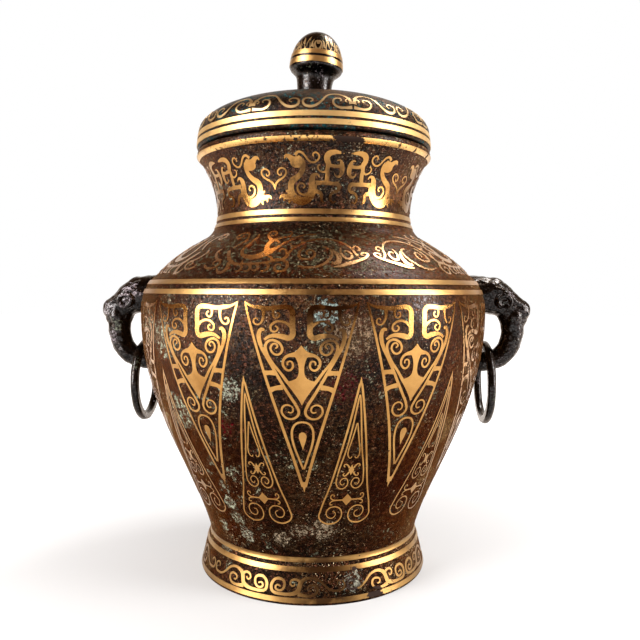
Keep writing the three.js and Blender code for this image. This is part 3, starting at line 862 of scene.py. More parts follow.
hanging_strokes = [
    # frame, solid tip, loop and drop
    [(16, 114.9, 0.3), (15.7, 113.6, 0.7), (9.5, 86.5, 0.9), (3.6, 61.6, 1.1), (0.5, 48.4, 1.2)],
    [(0, 50.6, 2.4), (0, 46.1, 0.1)],
    [
        (0, 74.8, 0.8), (1.7, 74.3, 0.8), (3, 72.5, 0.8), (3.4, 69.8, 0.8), (3, 66.1, 0.8), (1.6, 61, 0.8),
        (0.1, 56, 0.8),
    ],
    [(0, 70.9, 0.8), (0, 70.4, 2.2), (0, 69.3, 2.8), (0, 67.9, 2.3), (0, 64.1, 0.1)],
    # bracket
    [
        (16.1, 114.9, 0.3), (14.2, 113.6, 0.9), (11.9, 113.1, 1.5), (8.9, 112.8, 1.6), (5.5, 113.2, 1.7),
        (3.3, 113, 1.8), (2.5, 111.9, 1.8), (2.4, 109.9, 1.8), (2.4, 106.6, 1.8), (2.4, 104.4, 1.8),
        (3.2, 103.4, 1.9), (5.2, 103.8, 1.9), (7.2, 104.1, 1.5), (9, 103.7, 1.1), (10.3, 102.7, 0.8),
    ],
    # tongue and curls inside the bracket
    [
        (10.5, 112.6, 1.4), (10.5, 110.9, 0.9), (10.9, 108.8, 0.7), (11.9, 107.6, 0.6), (13, 107.8, 0.6),
        (13.3, 109, 0.6), (12.6, 109.6, 0.5), (12.1, 109, 0.4),
    ],
    [
        (7.7, 112.4, 0.9), (7.8, 110.9, 0.7), (7.2, 109.8, 0.6), (6.2, 110.1, 0.6), (6, 111.1, 0.5),
        (6.7, 111.5, 0.5),
    ],
    [
        (2.8, 107, 1.2), (4.2, 108.2, 0.9), (6, 108.7, 0.8), (7.9, 107.9, 0.8), (8.5, 106.6, 0.7),
        (7.9, 105.4, 0.7), (6.8, 105.6, 0.6), (6.5, 106.6, 0.6), (7.2, 107.2, 0.5),
    ],
    # hook that runs down the inner arm into a scroll
    [
        (10.2, 105.8, 0.8), (11.1, 106, 1.3), (11.8, 104.7, 1.4), (11.8, 102.9, 1.4), (11.1, 100.2, 1.2),
        (9.8, 97.2, 1), (7.7, 92.8, 1), (5.5, 88.1, 1), (3.2, 83.6, 1), (1.5, 80.3, 1), (1, 78.1, 0.9),
        (2, 76.4, 0.9), (4, 75.9, 0.8), (5.7, 77.2, 0.8), (6.1, 79.1, 0.7), (5.2, 80.7, 0.7),
        (3.5, 80.7, 0.6), (2.7, 79.4, 0.6), (3.2, 78.2, 0.6), (4.3, 78.4, 0.5),
    ],
    # scroll under the bracket that runs down to the triangle
    [
        (7.2, 99.9, 0.5), (6.6, 100.6, 0.6), (7.3, 101.5, 0.6), (8.4, 100.7, 0.7), (8.3, 99, 0.7),
        (6.9, 97.9, 0.8), (5.5, 98.8, 0.8), (5.5, 100.8, 0.8), (6.9, 102.3, 0.9), (8.7, 102.5, 0.9),
        (9.9, 101.2, 0.9), (9.8, 99, 0.9), (8.2, 95.3, 0.9), (6.1, 92.2, 0.9), (4.2, 89.1, 1.1),
        (1.9, 85.4, 1), (0.6, 82.6, 0.4),
    ],
    # palmette arms, and its stem on the triangle
    [
        (0.6, 98.2, 2.4), (2.4, 97.9, 1.6), (3.7, 97.6, 1.1), (4.8, 96.6, 0.9), (5.2, 95.1, 0.8),
        (4.7, 93.6, 0.8), (3.6, 92.8, 0.8), (2.6, 93.5, 0.7), (2.4, 94.8, 0.7), (3, 95.8, 0.6),
        (3.8, 95.5, 0.6), (3.9, 94.5, 0.5),
    ],
    [
        (0, 101, 0.1), (0, 100.4, 1), (0, 99.7, 2.2), (0, 98.4, 5), (0, 97.7, 5.4), (0, 96.9, 3.4),
        (0, 95.6, 2.4), (0, 94, 1.7), (0, 92.2, 1.7), (0, 91, 2.2), (0, 90.1, 3.4), (0, 89.5, 5.6),
        (0, 89, 9.2), (0, 88.6, 9.2), (0, 80.9, 0.1),
    ],
    # bars between the arms
    [(10.9, 91.7, 2), (9.2, 91.9, 1.6), (7.5, 91.9, 2)],
    [(9.5, 85.8, 2), (7.9, 86.6, 1.6), (5.5, 87.1, 2)],
]
blades("hanging", hanging_strokes, weight=0.9, turn=0)

# %% [markdown]
# ## Standing blades
# Between the hanging blades stand slender ones: three nested arrowheads, the outer two with feet that curl
# into volutes, and between the feet a knot of four curls and a barred diamond. Their strokes are thinner,
# so the same brush gets a lighter weight, and half a pitch of turn sets them in the gaps.

# %% Standing blades
standing_strokes = [
    # tip, outer arrowhead with its volutes
    [(0, 90.6, 0.1), (0, 87.9, 1.6)],
    [
        (0.3, 88.2, 1), (3.8, 66.5, 1), (7.4, 48.4, 1), (10.7, 37.6, 1), (11.2, 34.6, 1), (9, 32.2, 1),
        (5.2, 31.7, 1), (2.3, 33.2, 0.9), (1.5, 36.2, 0.9), (2.9, 38.7, 0.9), (5.7, 39.3, 0.8),
        (7.8, 37.9, 0.8), (8, 35.6, 0.7), (6.3, 34.2, 0.7), (4.5, 34.9, 0.6), (4.4, 36.7, 0.6),
        (5.6, 37.2, 0.5),
    ],
    # inner arrowhead with its volutes
    [
        (0.1, 84.4, 0.5), (0.4, 81.9, 0.8), (2.4, 65.6, 0.8), (5.1, 51.6, 0.8), (5, 49.2, 0.8),
        (3.2, 47.3, 0.8), (1.2, 48.2, 0.7), (0.7, 50.2, 0.7), (1.9, 51.9, 0.7), (3.4, 51.2, 0.6),
        (3.5, 49.6, 0.6), (2.5, 49, 0.5), (2, 49.9, 0.4),
    ],
    # innermost arrowhead
    [
        (0.1, 74.2, 0.5), (0.5, 71.5, 0.7), (1.4, 66.5, 0.7), (2, 63.2, 0.7), (1.8, 61.2, 0.6),
        (1, 60.4, 0.6), (0.5, 61.1, 0.5),
    ],
    # knot of four curls
    [(0, 57.6, 0.1), (0, 55.4, 3.2), (0, 53.2, 0.1)],
    [(0.8, 56.2, 1), (1.5, 57.4, 0.8), (2.3, 57.9, 0.7), (2.9, 57.3, 0.6), (2.4, 56.7, 0.5)],
    [(0.8, 54.6, 1), (1.5, 53.4, 0.8), (2.3, 52.9, 0.7), (2.9, 53.5, 0.6), (2.4, 54.1, 0.5)],
    # barred diamond with curled ends
    [(0, 44.9, 0.1), (0, 42.3, 6.6), (0, 39.7, 0.1)],
    [(1.6, 42.3, 1), (5.2, 42.3, 0.9)],
    [
        (4.8, 42.3, 0.9), (6.2, 42.8, 0.8), (6.8, 43.9, 0.7), (6.2, 44.8, 0.7), (5.4, 44.5, 0.6),
        (5.6, 43.8, 0.5),
    ],
    [(4.8, 42.3, 0.9), (6.3, 41.8, 0.8), (6.9, 41, 0.7), (6.5, 40.3, 0.7), (5.8, 40.5, 0.6)],
]
blades("standing", standing_strokes, weight=0.66, turn=math.pi / BLADES)

# %% [markdown]
# ## Neck
# Ten beasts with long tails go round the neck in facing pairs, with a heart-shaped scroll between each two
# faces. It is a traditional pattern, redrawn here stroke by stroke. Wide strokes make the bodies and thin
# ones the claws, so one brush serves for both.

# %% Neck beasts
NECK_REFERENCE = 43.0
NECK_FOOT = 153.5
NECK_PAIRS = 5
NECK_TURN = math.radians(-17.2)
beast_strokes = [
    # heart
    [
        (0, 14.5, 0.2), (0.1, 15.5, 0.8), (1.3, 17.3, 0.8), (3.3, 18.4, 0.7), (4.7, 19.7, 0.7),
        (4.9, 21, 0.7), (4, 21.9, 0.6), (2.5, 21.7, 0.6), (1.7, 20.7, 0.6), (2, 19.7, 0.5),
        (2.9, 19.5, 0.5), (3, 20.3, 0.4),
    ],
    # crest, head and jaw
    [
        (8.7, 26.4, 1.2), (9.9, 27.5, 0.9), (11.1, 27.2, 0.8), (12.3, 25.9, 0.7), (13.3, 24.5, 0.7),
        (14.8, 23.7, 0.7), (16.2, 24.2, 0.7), (17.1, 25.6, 0.6), (16.6, 26.9, 0.6), (15.5, 27.2, 0.6),
        (14.9, 26.3, 0.5), (15.2, 25.8, 0.4),
    ],
    [
        (10.6, 25.9, 1.4), (9.8, 24.9, 2.8), (8.6, 24.5, 3), (7.5, 25.1, 2.2), (6.5, 26, 1.6),
        (5.5, 26.2, 1.2), (4.8, 25.3, 0.3),
    ],
    [(10.5, 23.3, 2.8), (8.5, 23, 2.2), (7.4, 23.3, 1.2), (7, 24.3, 0.4)],
    # neck and body
    [
        (10.7, 24.9, 2), (11.2, 23.3, 2.2), (11.3, 21.7, 1.8), (10.4, 19.9, 1.9), (8.8, 18.4, 2.1),
        (7, 17.1, 2.4), (6.5, 15.5, 2.3), (6.6, 13.7, 2.4), (7.4, 11.8, 3), (9.3, 10.5, 3.2),
        (11.7, 10.3, 2.9), (13.7, 11.4, 2.5), (14.9, 13.2, 2.2), (15.5, 14.7, 1.8), (15.7, 16, 1.6),
    ],
    # fore paw, claws and spur
    [(6.5, 12.4, 2.6), (4.8, 11.8, 2), (3.3, 12.1, 1.3), (2.3, 12, 1), (1.7, 11.2, 0.3)],
    [(3.7, 11.8, 1.1), (3.5, 10.2, 0.4)],
    [(6, 10.7, 1.4), (5.5, 9.3, 0.4)],
    [(6.5, 13.4, 1.6), (5.3, 13.6, 1), (4.4, 14.2, 0.3)],
    # haunch with its scroll, and the hind leg
    [
        (17.3, 18.5, 0.3), (16.8, 19.4, 0.7), (15.7, 19.5, 1.2), (14.8, 18.4, 2.2), (14.5, 16.6, 2.4),
        (14, 14.5, 1.6), (13.2, 13.1, 1), (12, 12.4, 0.9), (10.5, 12.6, 0.8), (9.2, 13.9, 0.8),
        (9.1, 15.5, 0.7), (10.1, 16.4, 0.7), (11.3, 16.2, 0.6), (11.8, 15.3, 0.6), (11.1, 14.7, 0.5),
    ],
    [
        (15.2, 16, 1.8), (15.5, 14.2, 1.8), (16.8, 13.4, 1.4), (17.8, 13, 1.4), (18.2, 11.6, 1.3),
        (18.4, 10.3, 1), (19.3, 9.6, 0.3),
    ],
    # tail with its leaf, bars and hooks
    [
        (20, 16.8, 1.6), (20.3, 19.4, 1.6), (20.2, 21.5, 1.5), (20.5, 23.2, 1.9), (19.8, 25.1, 2),
        (20.3, 26.7, 2.2), (22, 27.5, 1.8), (24, 27.5, 1.2), (25.8, 27.2, 0.3),
    ],
    [
        (23.5, 24.6, 0.3), (24.5, 24.7, 0.7), (25.3, 23.6, 1.4), (25.6, 21.7, 1.9), (25.5, 20.1, 1.6),
        (24.5, 18.9, 0.9), (23.4, 19.1, 0.6), (22.8, 20.2, 0.3),
    ],
    [(25.3, 22.7, 1.3), (23, 22.5, 1.1), (20.5, 23, 1.3)],
    [
        (19.9, 21.2, 0.9), (19.1, 20.4, 0.7), (17.8, 20.6, 0.6), (16.8, 21.6, 0.6), (16.9, 22.7, 0.5),
        (17.6, 22.9, 0.3),
    ],
    [
        (15.9, 16.5, 1.8), (17.8, 16.6, 1.4), (20.1, 16.6, 1.6), (22.3, 16.4, 1.3), (24.4, 16.2, 1.6),
        (24.9, 15.2, 1.5), (24.4, 13.9, 1.2), (22.9, 13.4, 1), (21.7, 12.3, 1), (21.6, 10.8, 0.9),
        (22.5, 9.8, 0.7), (23.8, 10.1, 0.3),
    ],
]
beasts = drawn("neck_beasts", beast_strokes)
neck_gold = wrapped(beasts, vessel_line, NECK_REFERENCE, around(NECK_PAIRS, NECK_TURN), NECK_FOOT)
add_piece("gold_neck_beasts", neck_gold, gold, "jar")

# %% [markdown]
# ## Foot
# A running scroll goes round the foot in five mirrored pairs. It is one long stroke with two side shoots,
# and it could be made by a formula, but a drawn line swells and thins as the real one does.

# %% Foot scrolls
FOOT_REFERENCE = 45.0
FOOT_PAIRS = 5
FOOT_TURN = math.radians(-17.3)
foot_strokes = [
    [
        (4.4, 6.4, 0.6), (3, 6.7, 0.7), (2.5, 5.8, 0.8), (3.3, 5, 0.8), (4.9, 5.2, 0.9), (5.8, 6.7, 1),
        (5.5, 8.3, 1), (3.9, 9, 1.1), (2.3, 8.7, 1.1), (1.1, 7.3, 1.2), (0.9, 5.7, 1.2), (1.5, 4.4, 1.2),
        (3, 3.9, 1.2), (5.2, 3.8, 1.2), (7.7, 3.9, 1.3), (9.7, 4.4, 1.7), (10.8, 5.2, 1.9), (11.4, 7, 1.9),
        (12, 8.3, 1.8), (13.2, 9.2, 1.4), (15.1, 9.7, 1.1), (17, 9.5, 1), (18.9, 8.5, 1), (20.8, 6.7, 0.9),
        (23.1, 5.3, 0.9), (25.2, 5.1, 0.9), (27, 5.5, 0.9), (27.7, 6.7, 0.8), (27.4, 8, 0.7),
        (26.4, 8.6, 0.7), (25.2, 8.2, 0.6), (25.1, 7.1, 0.5),
    ],
    [
        (11.7, 7.9, 1.3), (10.6, 8.9, 1), (9, 9, 0.9), (8, 8.1, 0.8), (8.2, 7.1, 0.7), (9.2, 6.8, 0.6),
        (9.7, 7.6, 0.5),
    ],
    [
        (10.8, 4.2, 1.8), (12.9, 3.7, 1.2), (15.1, 3.6, 1.1), (17, 4.2, 1), (17.8, 5.6, 1),
        (17.3, 6.9, 0.9), (15.7, 7.2, 0.8), (14.3, 6.4, 0.7), (14.6, 5.4, 0.7), (15.7, 5.3, 0.5),
    ],
]
scrolls = drawn("foot_scrolls", foot_strokes, weight=0.85)
foot_inlay = wrapped(scrolls, vessel_line, FOOT_REFERENCE, around(FOOT_PAIRS, FOOT_TURN))
# The foot gold is darker as painted shade.
add_piece("gold_foot_scrolls", foot_inlay, shaded_foot_gold, "jar")

# %% [markdown]
# ## Shoulder
# On the sloping shoulder six long birds, crested and with curling tails, face each other in pairs. Their
# lines are finer and more rubbed than the rest, so they have a gold of their own, paler than the belly's,
# and on the front it wears through sooner.

# %% Shoulder birds
SHOULDER_REFERENCE = 56.0
SHOULDER_PAIRS = 3
SHOULDER_TURN = math.radians(-37)
bird_strokes = [
    # crescent body and long tail feather
    [
        (14.5, 149.9, 0.5), (15.4, 147.7, 0.8), (14.7, 145.8, 0.8), (14.3, 143, 0.8), (13.4, 139.7, 1),
        (13.6, 137.5, 1.1), (15.1, 135.2, 1.4), (17.8, 134.1, 2.2), (20.7, 134.4, 3), (23.5, 136.4, 3.4),
        (25.1, 138.3, 2.2), (26.4, 139.9, 1.2), (27.9, 142.1, 1), (29.5, 144, 0.9), (31.2, 145.9, 0.9),
        (33.7, 147.5, 0.8), (36.8, 148.5, 0.8), (40.3, 149, 0.7),
    ],
    # neck, crest and beak
    [(23.1, 137.8, 2.4), (22.4, 139.7, 1.8), (22.3, 141.6, 1.7), (22.8, 143.5, 2), (23.4, 145, 2)],
    [
        (22.8, 144.5, 1.6), (21, 146.6, 1.2), (19.7, 148.6, 1), (19.4, 150.3, 0.9), (20.6, 151.3, 0.9),
        (22.4, 151, 0.8), (23.2, 149.5, 0.7), (22.6, 148.2, 0.7), (21.4, 148, 0.6), (21, 149, 0.5),
    ],
    [
        (23.7, 144.8, 1.6), (25.6, 146, 1.2), (27.6, 146.7, 1.1), (29.2, 147.6, 1), (29.9, 149.9, 0.8),
        (29, 151, 0.6), (28.1, 150.5, 0.4),
    ],
    [(23.7, 144.5, 1.3), (25.3, 143.9, 0.9), (26.3, 142.6, 0.7), (25.5, 141.9, 0.4)],
    # plume and claw behind the body
    [
        (8.5, 139.7, 0.8), (10.3, 142.9, 0.9), (11.2, 145.1, 1), (10.6, 147.7, 1), (9, 150.2, 0.9),
        (6.6, 151.2, 0.9), (4.4, 150.5, 0.8), (3.8, 148.6, 0.8), (5, 147, 0.7), (6.9, 147.3, 0.7),
        (7.5, 148.6, 0.6), (6.4, 149.1, 0.5),
    ],
    [(3.4, 139.4, 0.8), (2.8, 137.5, 0.9), (3.8, 135.2, 1), (5.6, 133.3, 1), (7.8, 132.6, 0.8)],
    # spine that runs on into the great wing
    [
        (7.8, 138.1, 1.2), (9.1, 135.6, 1.4), (10.6, 133.3, 1.4), (12.1, 131.7, 1.5), (14.1, 130.6, 1.2),
        (16.5, 130.4, 1), (19.6, 130.5, 1), (22.8, 130.7, 1), (25.3, 131.4, 1.2), (27.1, 132.3, 1.5),
        (29.2, 132.5, 1.4), (30.4, 134, 1.1), (31.2, 136.8, 0.9), (32.4, 139.4, 0.9), (34, 141.3, 0.9),
        (36, 143.2, 0.9), (38.4, 144.4, 0.9), (41.2, 145.1, 0.9), (44.3, 145.1, 0.8), (47.4, 144.5, 0.8),
        (49.9, 143.2, 0.8), (51.8, 140.6, 0.8), (52.8, 138.7, 0.8), (53.2, 136.2, 0.8), (54.2, 134, 0.8),
        (54.8, 133, 0.6),
    ],
    # claws, thorns and scrolls along the spine
    [
        (11.5, 131.4, 1.4), (12, 128.9, 1.4), (11.5, 127, 1.4), (10.2, 126.3, 1.2), (8.7, 127.5, 0.7),
        (8.1, 128.9, 0.3),
    ],
    [
        (1.8, 130.5, 0.4), (3.1, 129.1, 0.9), (5, 128.5, 0.9), (7.2, 129.1, 0.8), (8.1, 130.8, 0.8),
        (7.1, 132.3, 0.7), (5.6, 132.1, 0.7), (5.3, 130.8, 0.6), (6.2, 130.3, 0.5),
    ],
    [(15.9, 130.4, 1), (17.1, 128.9, 0.9), (16.6, 127.1, 0.8), (15.4, 127.1, 0.4)],
    [(18.9, 130.4, 1), (19.9, 128.9, 0.9), (19.5, 127.1, 0.8), (18.3, 127.1, 0.4)],
    [(21.5, 130.5, 1), (22.4, 129, 0.9), (22, 127.4, 0.8), (20.7, 127.6, 0.4)],
    [(24.5, 130.9, 1), (25.6, 129.3, 0.9), (24.9, 127.1, 0.8), (23.6, 127, 0.4)],
    [(16.5, 130.6, 1), (16.2, 132.1, 0.4)],
    [(19.6, 130.6, 1), (19.3, 131.5, 0.4)],
    [(26.2, 131.9, 1), (25.6, 133.5, 0.8), (24.3, 134.1, 0.4)],
    [
        (29.9, 132.2, 1.1), (31.3, 130.3, 1), (30.9, 127.7, 0.9), (29.3, 126.6, 0.9), (27.9, 127.6, 0.8),
        (27.8, 129.4, 0.7), (28.9, 130.1, 0.6), (29.5, 129, 0.5),
    ],
    # hooks, leaf and scrolls of the wing
    [(30.5, 134.9, 1), (29.9, 137.3, 0.8), (28.7, 138.4, 0.7), (27.7, 137.6, 0.6), (28, 136.5, 0.4)],
    [(33.2, 140.3, 1), (31.4, 140.6, 0.8), (30.4, 142, 0.4)],
    [(35.1, 142.6, 1), (35.3, 144.1, 0.8), (34.3, 145.1, 0.6), (33.3, 144.9, 0.4)],
    [
        (36.5, 140.7, 0.6), (35.1, 138.1, 0.9), (34.4, 135.6, 0.9), (35, 133.3, 0.9), (36.6, 132.6, 0.9),
        (38.5, 133.1, 0.8), (39.6, 134.9, 0.8), (39.3, 136.8, 0.7), (37.9, 137.8, 0.7), (36.9, 136.5, 0.6),
        (37.2, 135.1, 0.5),
    ],
    [
        (34.6, 129.3, 0.4), (37.8, 128.5, 0.9), (41.2, 129.4, 0.9), (43.6, 131.7, 0.9), (44.9, 134, 0.9),
        (45.3, 136.5, 0.8), (44.3, 139.1, 0.7), (42.4, 139.7, 0.6),
    ],
    [
        (45.7, 138.1, 0.4), (46.9, 135.6, 1.4), (47.3, 133, 1.6), (46.5, 130.9, 1.8), (45.3, 130.4, 1.2),
        (44.9, 131.4, 0.4),
    ],
    [
        (45.1, 128.8, 0.4), (47.4, 129.3, 1.2), (49.9, 130.5, 1.6), (52.7, 131.7, 1.2), (55.2, 133, 1),
        (57, 134.5, 0.9), (57.4, 135.8, 0.8), (56.2, 136.3, 0.7), (55.2, 135.5, 0.6), (55.6, 134.5, 0.4),
    ],
    [
        (48.6, 139.1, 0.5), (48.3, 136.2, 0.8), (48.9, 134.2, 0.9), (49.9, 132.9, 1), (51.1, 133.3, 0.9),
        (51.8, 134.9, 0.8), (51.4, 136.5, 0.7), (50.2, 137.3, 0.6), (49.5, 136.5, 0.4),
    ],
    [(53.2, 139.1, 0.8), (54.2, 140.3, 0.7), (55.3, 139.4, 0.6), (55.3, 138.1, 0.5), (54.4, 137.7, 0.4)],
]
birds = drawn("shoulder_birds", bird_strokes)
shoulder_gold = wrapped(birds, vessel_line, SHOULDER_REFERENCE, around(SHOULDER_PAIRS, SHOULDER_TURN))
add_piece("gold_shoulder_birds", shoulder_gold, thin_gold, "jar")

# %% [markdown]
# ## Lid ornament
# Above the lid's bands a wave of volutes rises and falls eight times round the dome. The sheet starts at
# the top of the upper band, and the lid carries it, so the wave lifts off with the lid.

# %% Lid scrolls
LID_REFERENCE = 45.0
LID_WAVES = 8
LID_TURN = math.radians(-2.5)
WAVE_FOOT = 175.4
wave_strokes = [
    [
        (3.1, 3.2, 0.5), (3.7, 3.4, 0.5), (4, 4, 0.6), (3.5, 4.7, 0.7), (2.2, 5, 0.8), (1, 4.4, 0.9),
        (0.7, 3, 1), (1.2, 1.9, 1.1), (2.5, 1.3, 1.2), (4.2, 1.4, 1.2), (5.9, 2.4, 1.1), (7.4, 4.2, 1),
        (8.6, 6.2, 0.9), (10, 7.6, 0.8), (12, 8.2, 0.8), (14.3, 7.7, 1), (15.9, 6.3, 1.2), (16.8, 4.6, 1.5),
        (17.1, 2.8, 2),
    ],
    [
        (17.3, 1.4, 1.6), (15, 1.1, 1.1), (12.6, 1.2, 1), (11.2, 2.2, 1), (10.9, 3.7, 0.9),
        (11.6, 4.9, 0.8), (12.9, 5.2, 0.7), (13.8, 4.5, 0.6), (13.4, 3.8, 0.5),
    ],
    [(17.2, 5.6, 0.9), (15.9, 5, 0.7), (15.2, 4, 0.6), (15.8, 3.4, 0.4)],
]
waves = drawn("lid_waves", wave_strokes, weight=0.75)
wave_foot = lid_line.along(WAVE_FOOT)
lid_gold = wrapped(waves, lid_line, LID_REFERENCE, around(LID_WAVES, LID_TURN), wave_foot)
add_piece("gold_lid_waves", lid_gold, pale_gold, "lid")

# %% [markdown]
# ## Knob ornament
# Flames and small curls lick up from the knob's upper band, six times round. They are wrapped on the
# upright knob and then bent with it, which is simpler than drawing on a leaning one.

# %% Knob flames
KNOB_REFERENCE = 9.6
KNOB_UNITS = 6
KNOB_TURN = math.radians(-25)
FLAME_FOOT = 208.8
flame_strokes = [
    [(0.6, -0.3, 2.4), (1.2, 1.8, 1.6), (1, 4, 1), (1.7, 6.6, 0.2)],
    [(2.4, -0.3, 2), (2.8, 1.6, 1.2), (2.6, 3.2, 0.7), (3.2, 5, 0.2)],
    [
        (4.6, 0, 1.4), (4, 1.4, 0.7), (3.7, 3, 0.7), (4.3, 4.2, 0.6), (5.2, 4, 0.6), (5.2, 3, 0.5),
        (4.5, 2.9, 0.5),
    ],
]
flames = drawn("knob_flames", flame_strokes)
flame_foot = knob_line.along(FLAME_FOOT)
knob_gold = wrapped(flames, knob_line, KNOB_REFERENCE, around(KNOB_UNITS, KNOB_TURN), flame_foot)
add_piece("gold_knob_flames", lean(knob_gold), pale_gold, "lid")

# %% [markdown]
# ## Handles
# Each handle is a cast animal head whose trunk curls down and back to the wall, where the ring hangs. It
# could be pushed out of one box, but a bronze founder shapes wax, and so do we: tapering rolls for head,
# trunk, nose and brows, balls for snout and cheeks and rings for the eyes, then one remesh that melts them
# together.


# %% Wax shapes
def roll(points, name):
    """A round tapering roll through (x, y, z, radius) points in millimetres, as a mesh."""
    curve = bpy.data.curves.new(name, "CURVE")
    curve.dimensions = "3D"
    curve.bevel_depth = MM
    curve.bevel_resolution = 6
    curve.use_fill_caps = True
    spline = curve.splines.new("BEZIER")
    spline.bezier_points.add(len(points) - 1)
    for knot, (x, y, z, radius) in zip(spline.bezier_points, points):
        knot.co = Vector((x, y, z)) * MM
        knot.radius = radius
        knot.handle_left_type = knot.handle_right_type = "AUTO"
    holder = bpy.data.objects.new(name, curve)
    mesh = bpy.data.meshes.new_from_object(holder)
    bpy.data.objects.remove(holder)
    return mesh


def ball(bm, centre, sizes):
    """An ellipsoid at a centre, with its three half lengths, all in millimetres."""
    grow = Matrix.Diagonal((*(s * MM for s in sizes), 1))
    place = Matrix.Translation(Vector(centre) * MM)
    bmesh.ops.create_uvsphere(bm, u_segments=24, v_segments=16, radius=1, matrix=place @ grow)


def eye(bm, centre, radius, wire):
    """A round eye rim standing on the head's side, which faces along Y."""
    made = bmesh.ops.create_circle(bm, segments=10, radius=wire * MM)["verts"]
    bmesh.ops.rotate(bm, verts=made, matrix=Matrix.Rotation(math.pi / 2, 3, "Y"))
    bmesh.ops.translate(bm, verts=made, vec=(0, 0, radius * MM))
    edges = [e for e in bm.edges if e.verts[0] in made and e.verts[1] in made]
    before = set(bm.verts) - set(made)
    bmesh.ops.spin(
        bm, geom=made + edges, axis=(0, 1, 0), cent=(0, 0, 0), angle=math.tau, steps=24, use_merge=True
    )
    rim = [v for v in bm.verts if v not in before]
    bmesh.ops.translate(bm, verts=rim, vec=Vector(centre) * MM)


print("wax shapes:", *[helper.__name__ for helper in (roll, ball, eye)])

# %% [markdown]
# ### Melting
# Rolls and balls that only overlap would show hard creases. A voxel remesh makes one skin of them, and a
# little smoothing rounds the steps that voxels leave. The rolls are cut off first at the wall, so that no
# wax reaches into the jar.

# %% Melt and trim
VOXEL = 0.4 * MM
SOFTEN, SOFTEN_PASSES = 0.5, 3


def melted(bm, name):
    """The shapes fused into one skin by a voxel remesh, then smoothed."""
    mesh = bpy.data.meshes.new(name)
    bm.to_mesh(mesh)
    bm.free()
    rough = bpy.data.objects.new(name, mesh)
    bpy.context.scene.collection.objects.link(rough)
    remesh = rough.modifiers.new("melt", "REMESH")
    remesh.mode = "VOXEL"
    remesh.voxel_size = VOXEL
    smooth = rough.modifiers.new("soften", "SMOOTH")
    smooth.factor = SOFTEN
    smooth.iterations = SOFTEN_PASSES
    graph = bpy.context.evaluated_depsgraph_get()
    skin = bpy.data.meshes.new_from_object(rough.evaluated_get(graph))
    bpy.data.objects.remove(rough)
    result = bmesh.new()
    result.from_mesh(skin)
    bpy.data.meshes.remove(skin)
    return result


def trimmed(mesh, point, normal):
    """The mesh cut off behind a plane and closed again."""
    bm = bmesh.new()
    bm.from_mesh(mesh)
    everything = bm.verts[:] + bm.edges[:] + bm.faces[:]
    bmesh.ops.bisect_plane(
        bm, geom=everything, plane_co=Vector(point) * MM, plane_no=normal, clear_inner=True
    )
    bmesh.ops.holes_fill(bm, edges=[e for e in bm.edges if e.is_boundary])
    bm.to_mesh(mesh)
    bm.free()
    return mesh


print("wax is melted in voxels of", round(VOXEL / MM, 2), "mm")

# %% [markdown]
# ### The animal head
# We shape the right handle, on +X. What lies in its middle plane is made once, and what comes in pairs is
# listed for one side and mirrored. Dents from noise then take away the smoothness of fresh wax, and a half
# turn about the jar's axis gives the left handle.

# %% Handles
HEAD = [
    (58, 0, 111.2, 7.4),
    (70, 0, 111.4, 7.9),
    (76, 0, 109.8, 7.4),
    (80.6, 0, 107.2, 6),
    (84.8, 0, 105.4, 4.7),
]
HEAD_CUT, HEAD_CUT_NORMAL = (67.6, 0, 107.5), (11.5, 0, 5)
TRUNK = [
    (80.2, 0, 106.5, 5.4),
    (82.6, 0, 99, 4.7),
    (81.9, 0, 92.4, 4.4),
    (79, 0, 87, 4.3),
    (74, 0, 84.2, 4.1),
    (62, 0, 84, 4),
]
TRUNK_CUT, TRUNK_CUT_NORMAL = (66.8, 0, 84), (1, 0, 0)
NOSE = [(76, 0, 116, 0.6), (79.5, 0, 112.8, 1.5), (82.6, 0, 110, 1.4), (85.4, 0, 108.6, 0.9)]
SNOUT, CHIN = ((85, 0, 105), (4.8, 4.7, 4.9)), ((84, 0, 101.6), (4.5, 4, 5))
FOREHEAD = ((74, 0, 112.8), (6, 6.8, 6))
BROW = [
    (70.6, 7, 112.6, 0.6),
    (74.6, 7.4, 113.4, 1.4),
    (78.6, 6.8, 111.9, 1.5),
    (82.2, 4.8, 109, 1.3),
    (86, 3.6, 107, 0.9),
]
TEMPLE, CHEEK = ((72.6, 5.2, 112.2), (4.4, 3, 4.6)), ((82.4, 3.6, 102.2), (3, 2, 4.4))
NOSTRIL, PUPIL = ((87.4, 2.6, 103.8), (1.5, 1.4, 1.3)), ((77.6, 7.3, 108.7), (1.3, 1.2, 1.2))
EYE, EYE_RADIUS, EYE_WIRE = (77.6, 7.9, 108.7), 2.6, 1.1
DENTS, DENT_SCALE = 0.32, 190
PIMPLES, PIMPLE_SCALE = 0.14, 620


def handle_wax():
    """The right handle, on +X."""
    bm = bmesh.new()
    bm.from_mesh(trimmed(roll(HEAD, "head"), HEAD_CUT, HEAD_CUT_NORMAL))
    bm.from_mesh(trimmed(roll(TRUNK, "trunk"), TRUNK_CUT, TRUNK_CUT_NORMAL))
    bm.from_mesh(roll(NOSE, "nose"))
    for centre, sizes in (SNOUT, CHIN, FOREHEAD):
        ball(bm, centre, sizes)
    for side in (1, -1):
        bm.from_mesh(roll([(x, side * y, z, radius) for x, y, z, radius in BROW], "brow"))
        for (x, y, z), sizes in (TEMPLE, CHEEK, NOSTRIL, PUPIL):
            ball(bm, (x, side * y, z), sizes)
        eye(bm, (EYE[0], side * EYE[1], EYE[2]), EYE_RADIUS, EYE_WIRE)
    return melted(bm, "handle_wax")


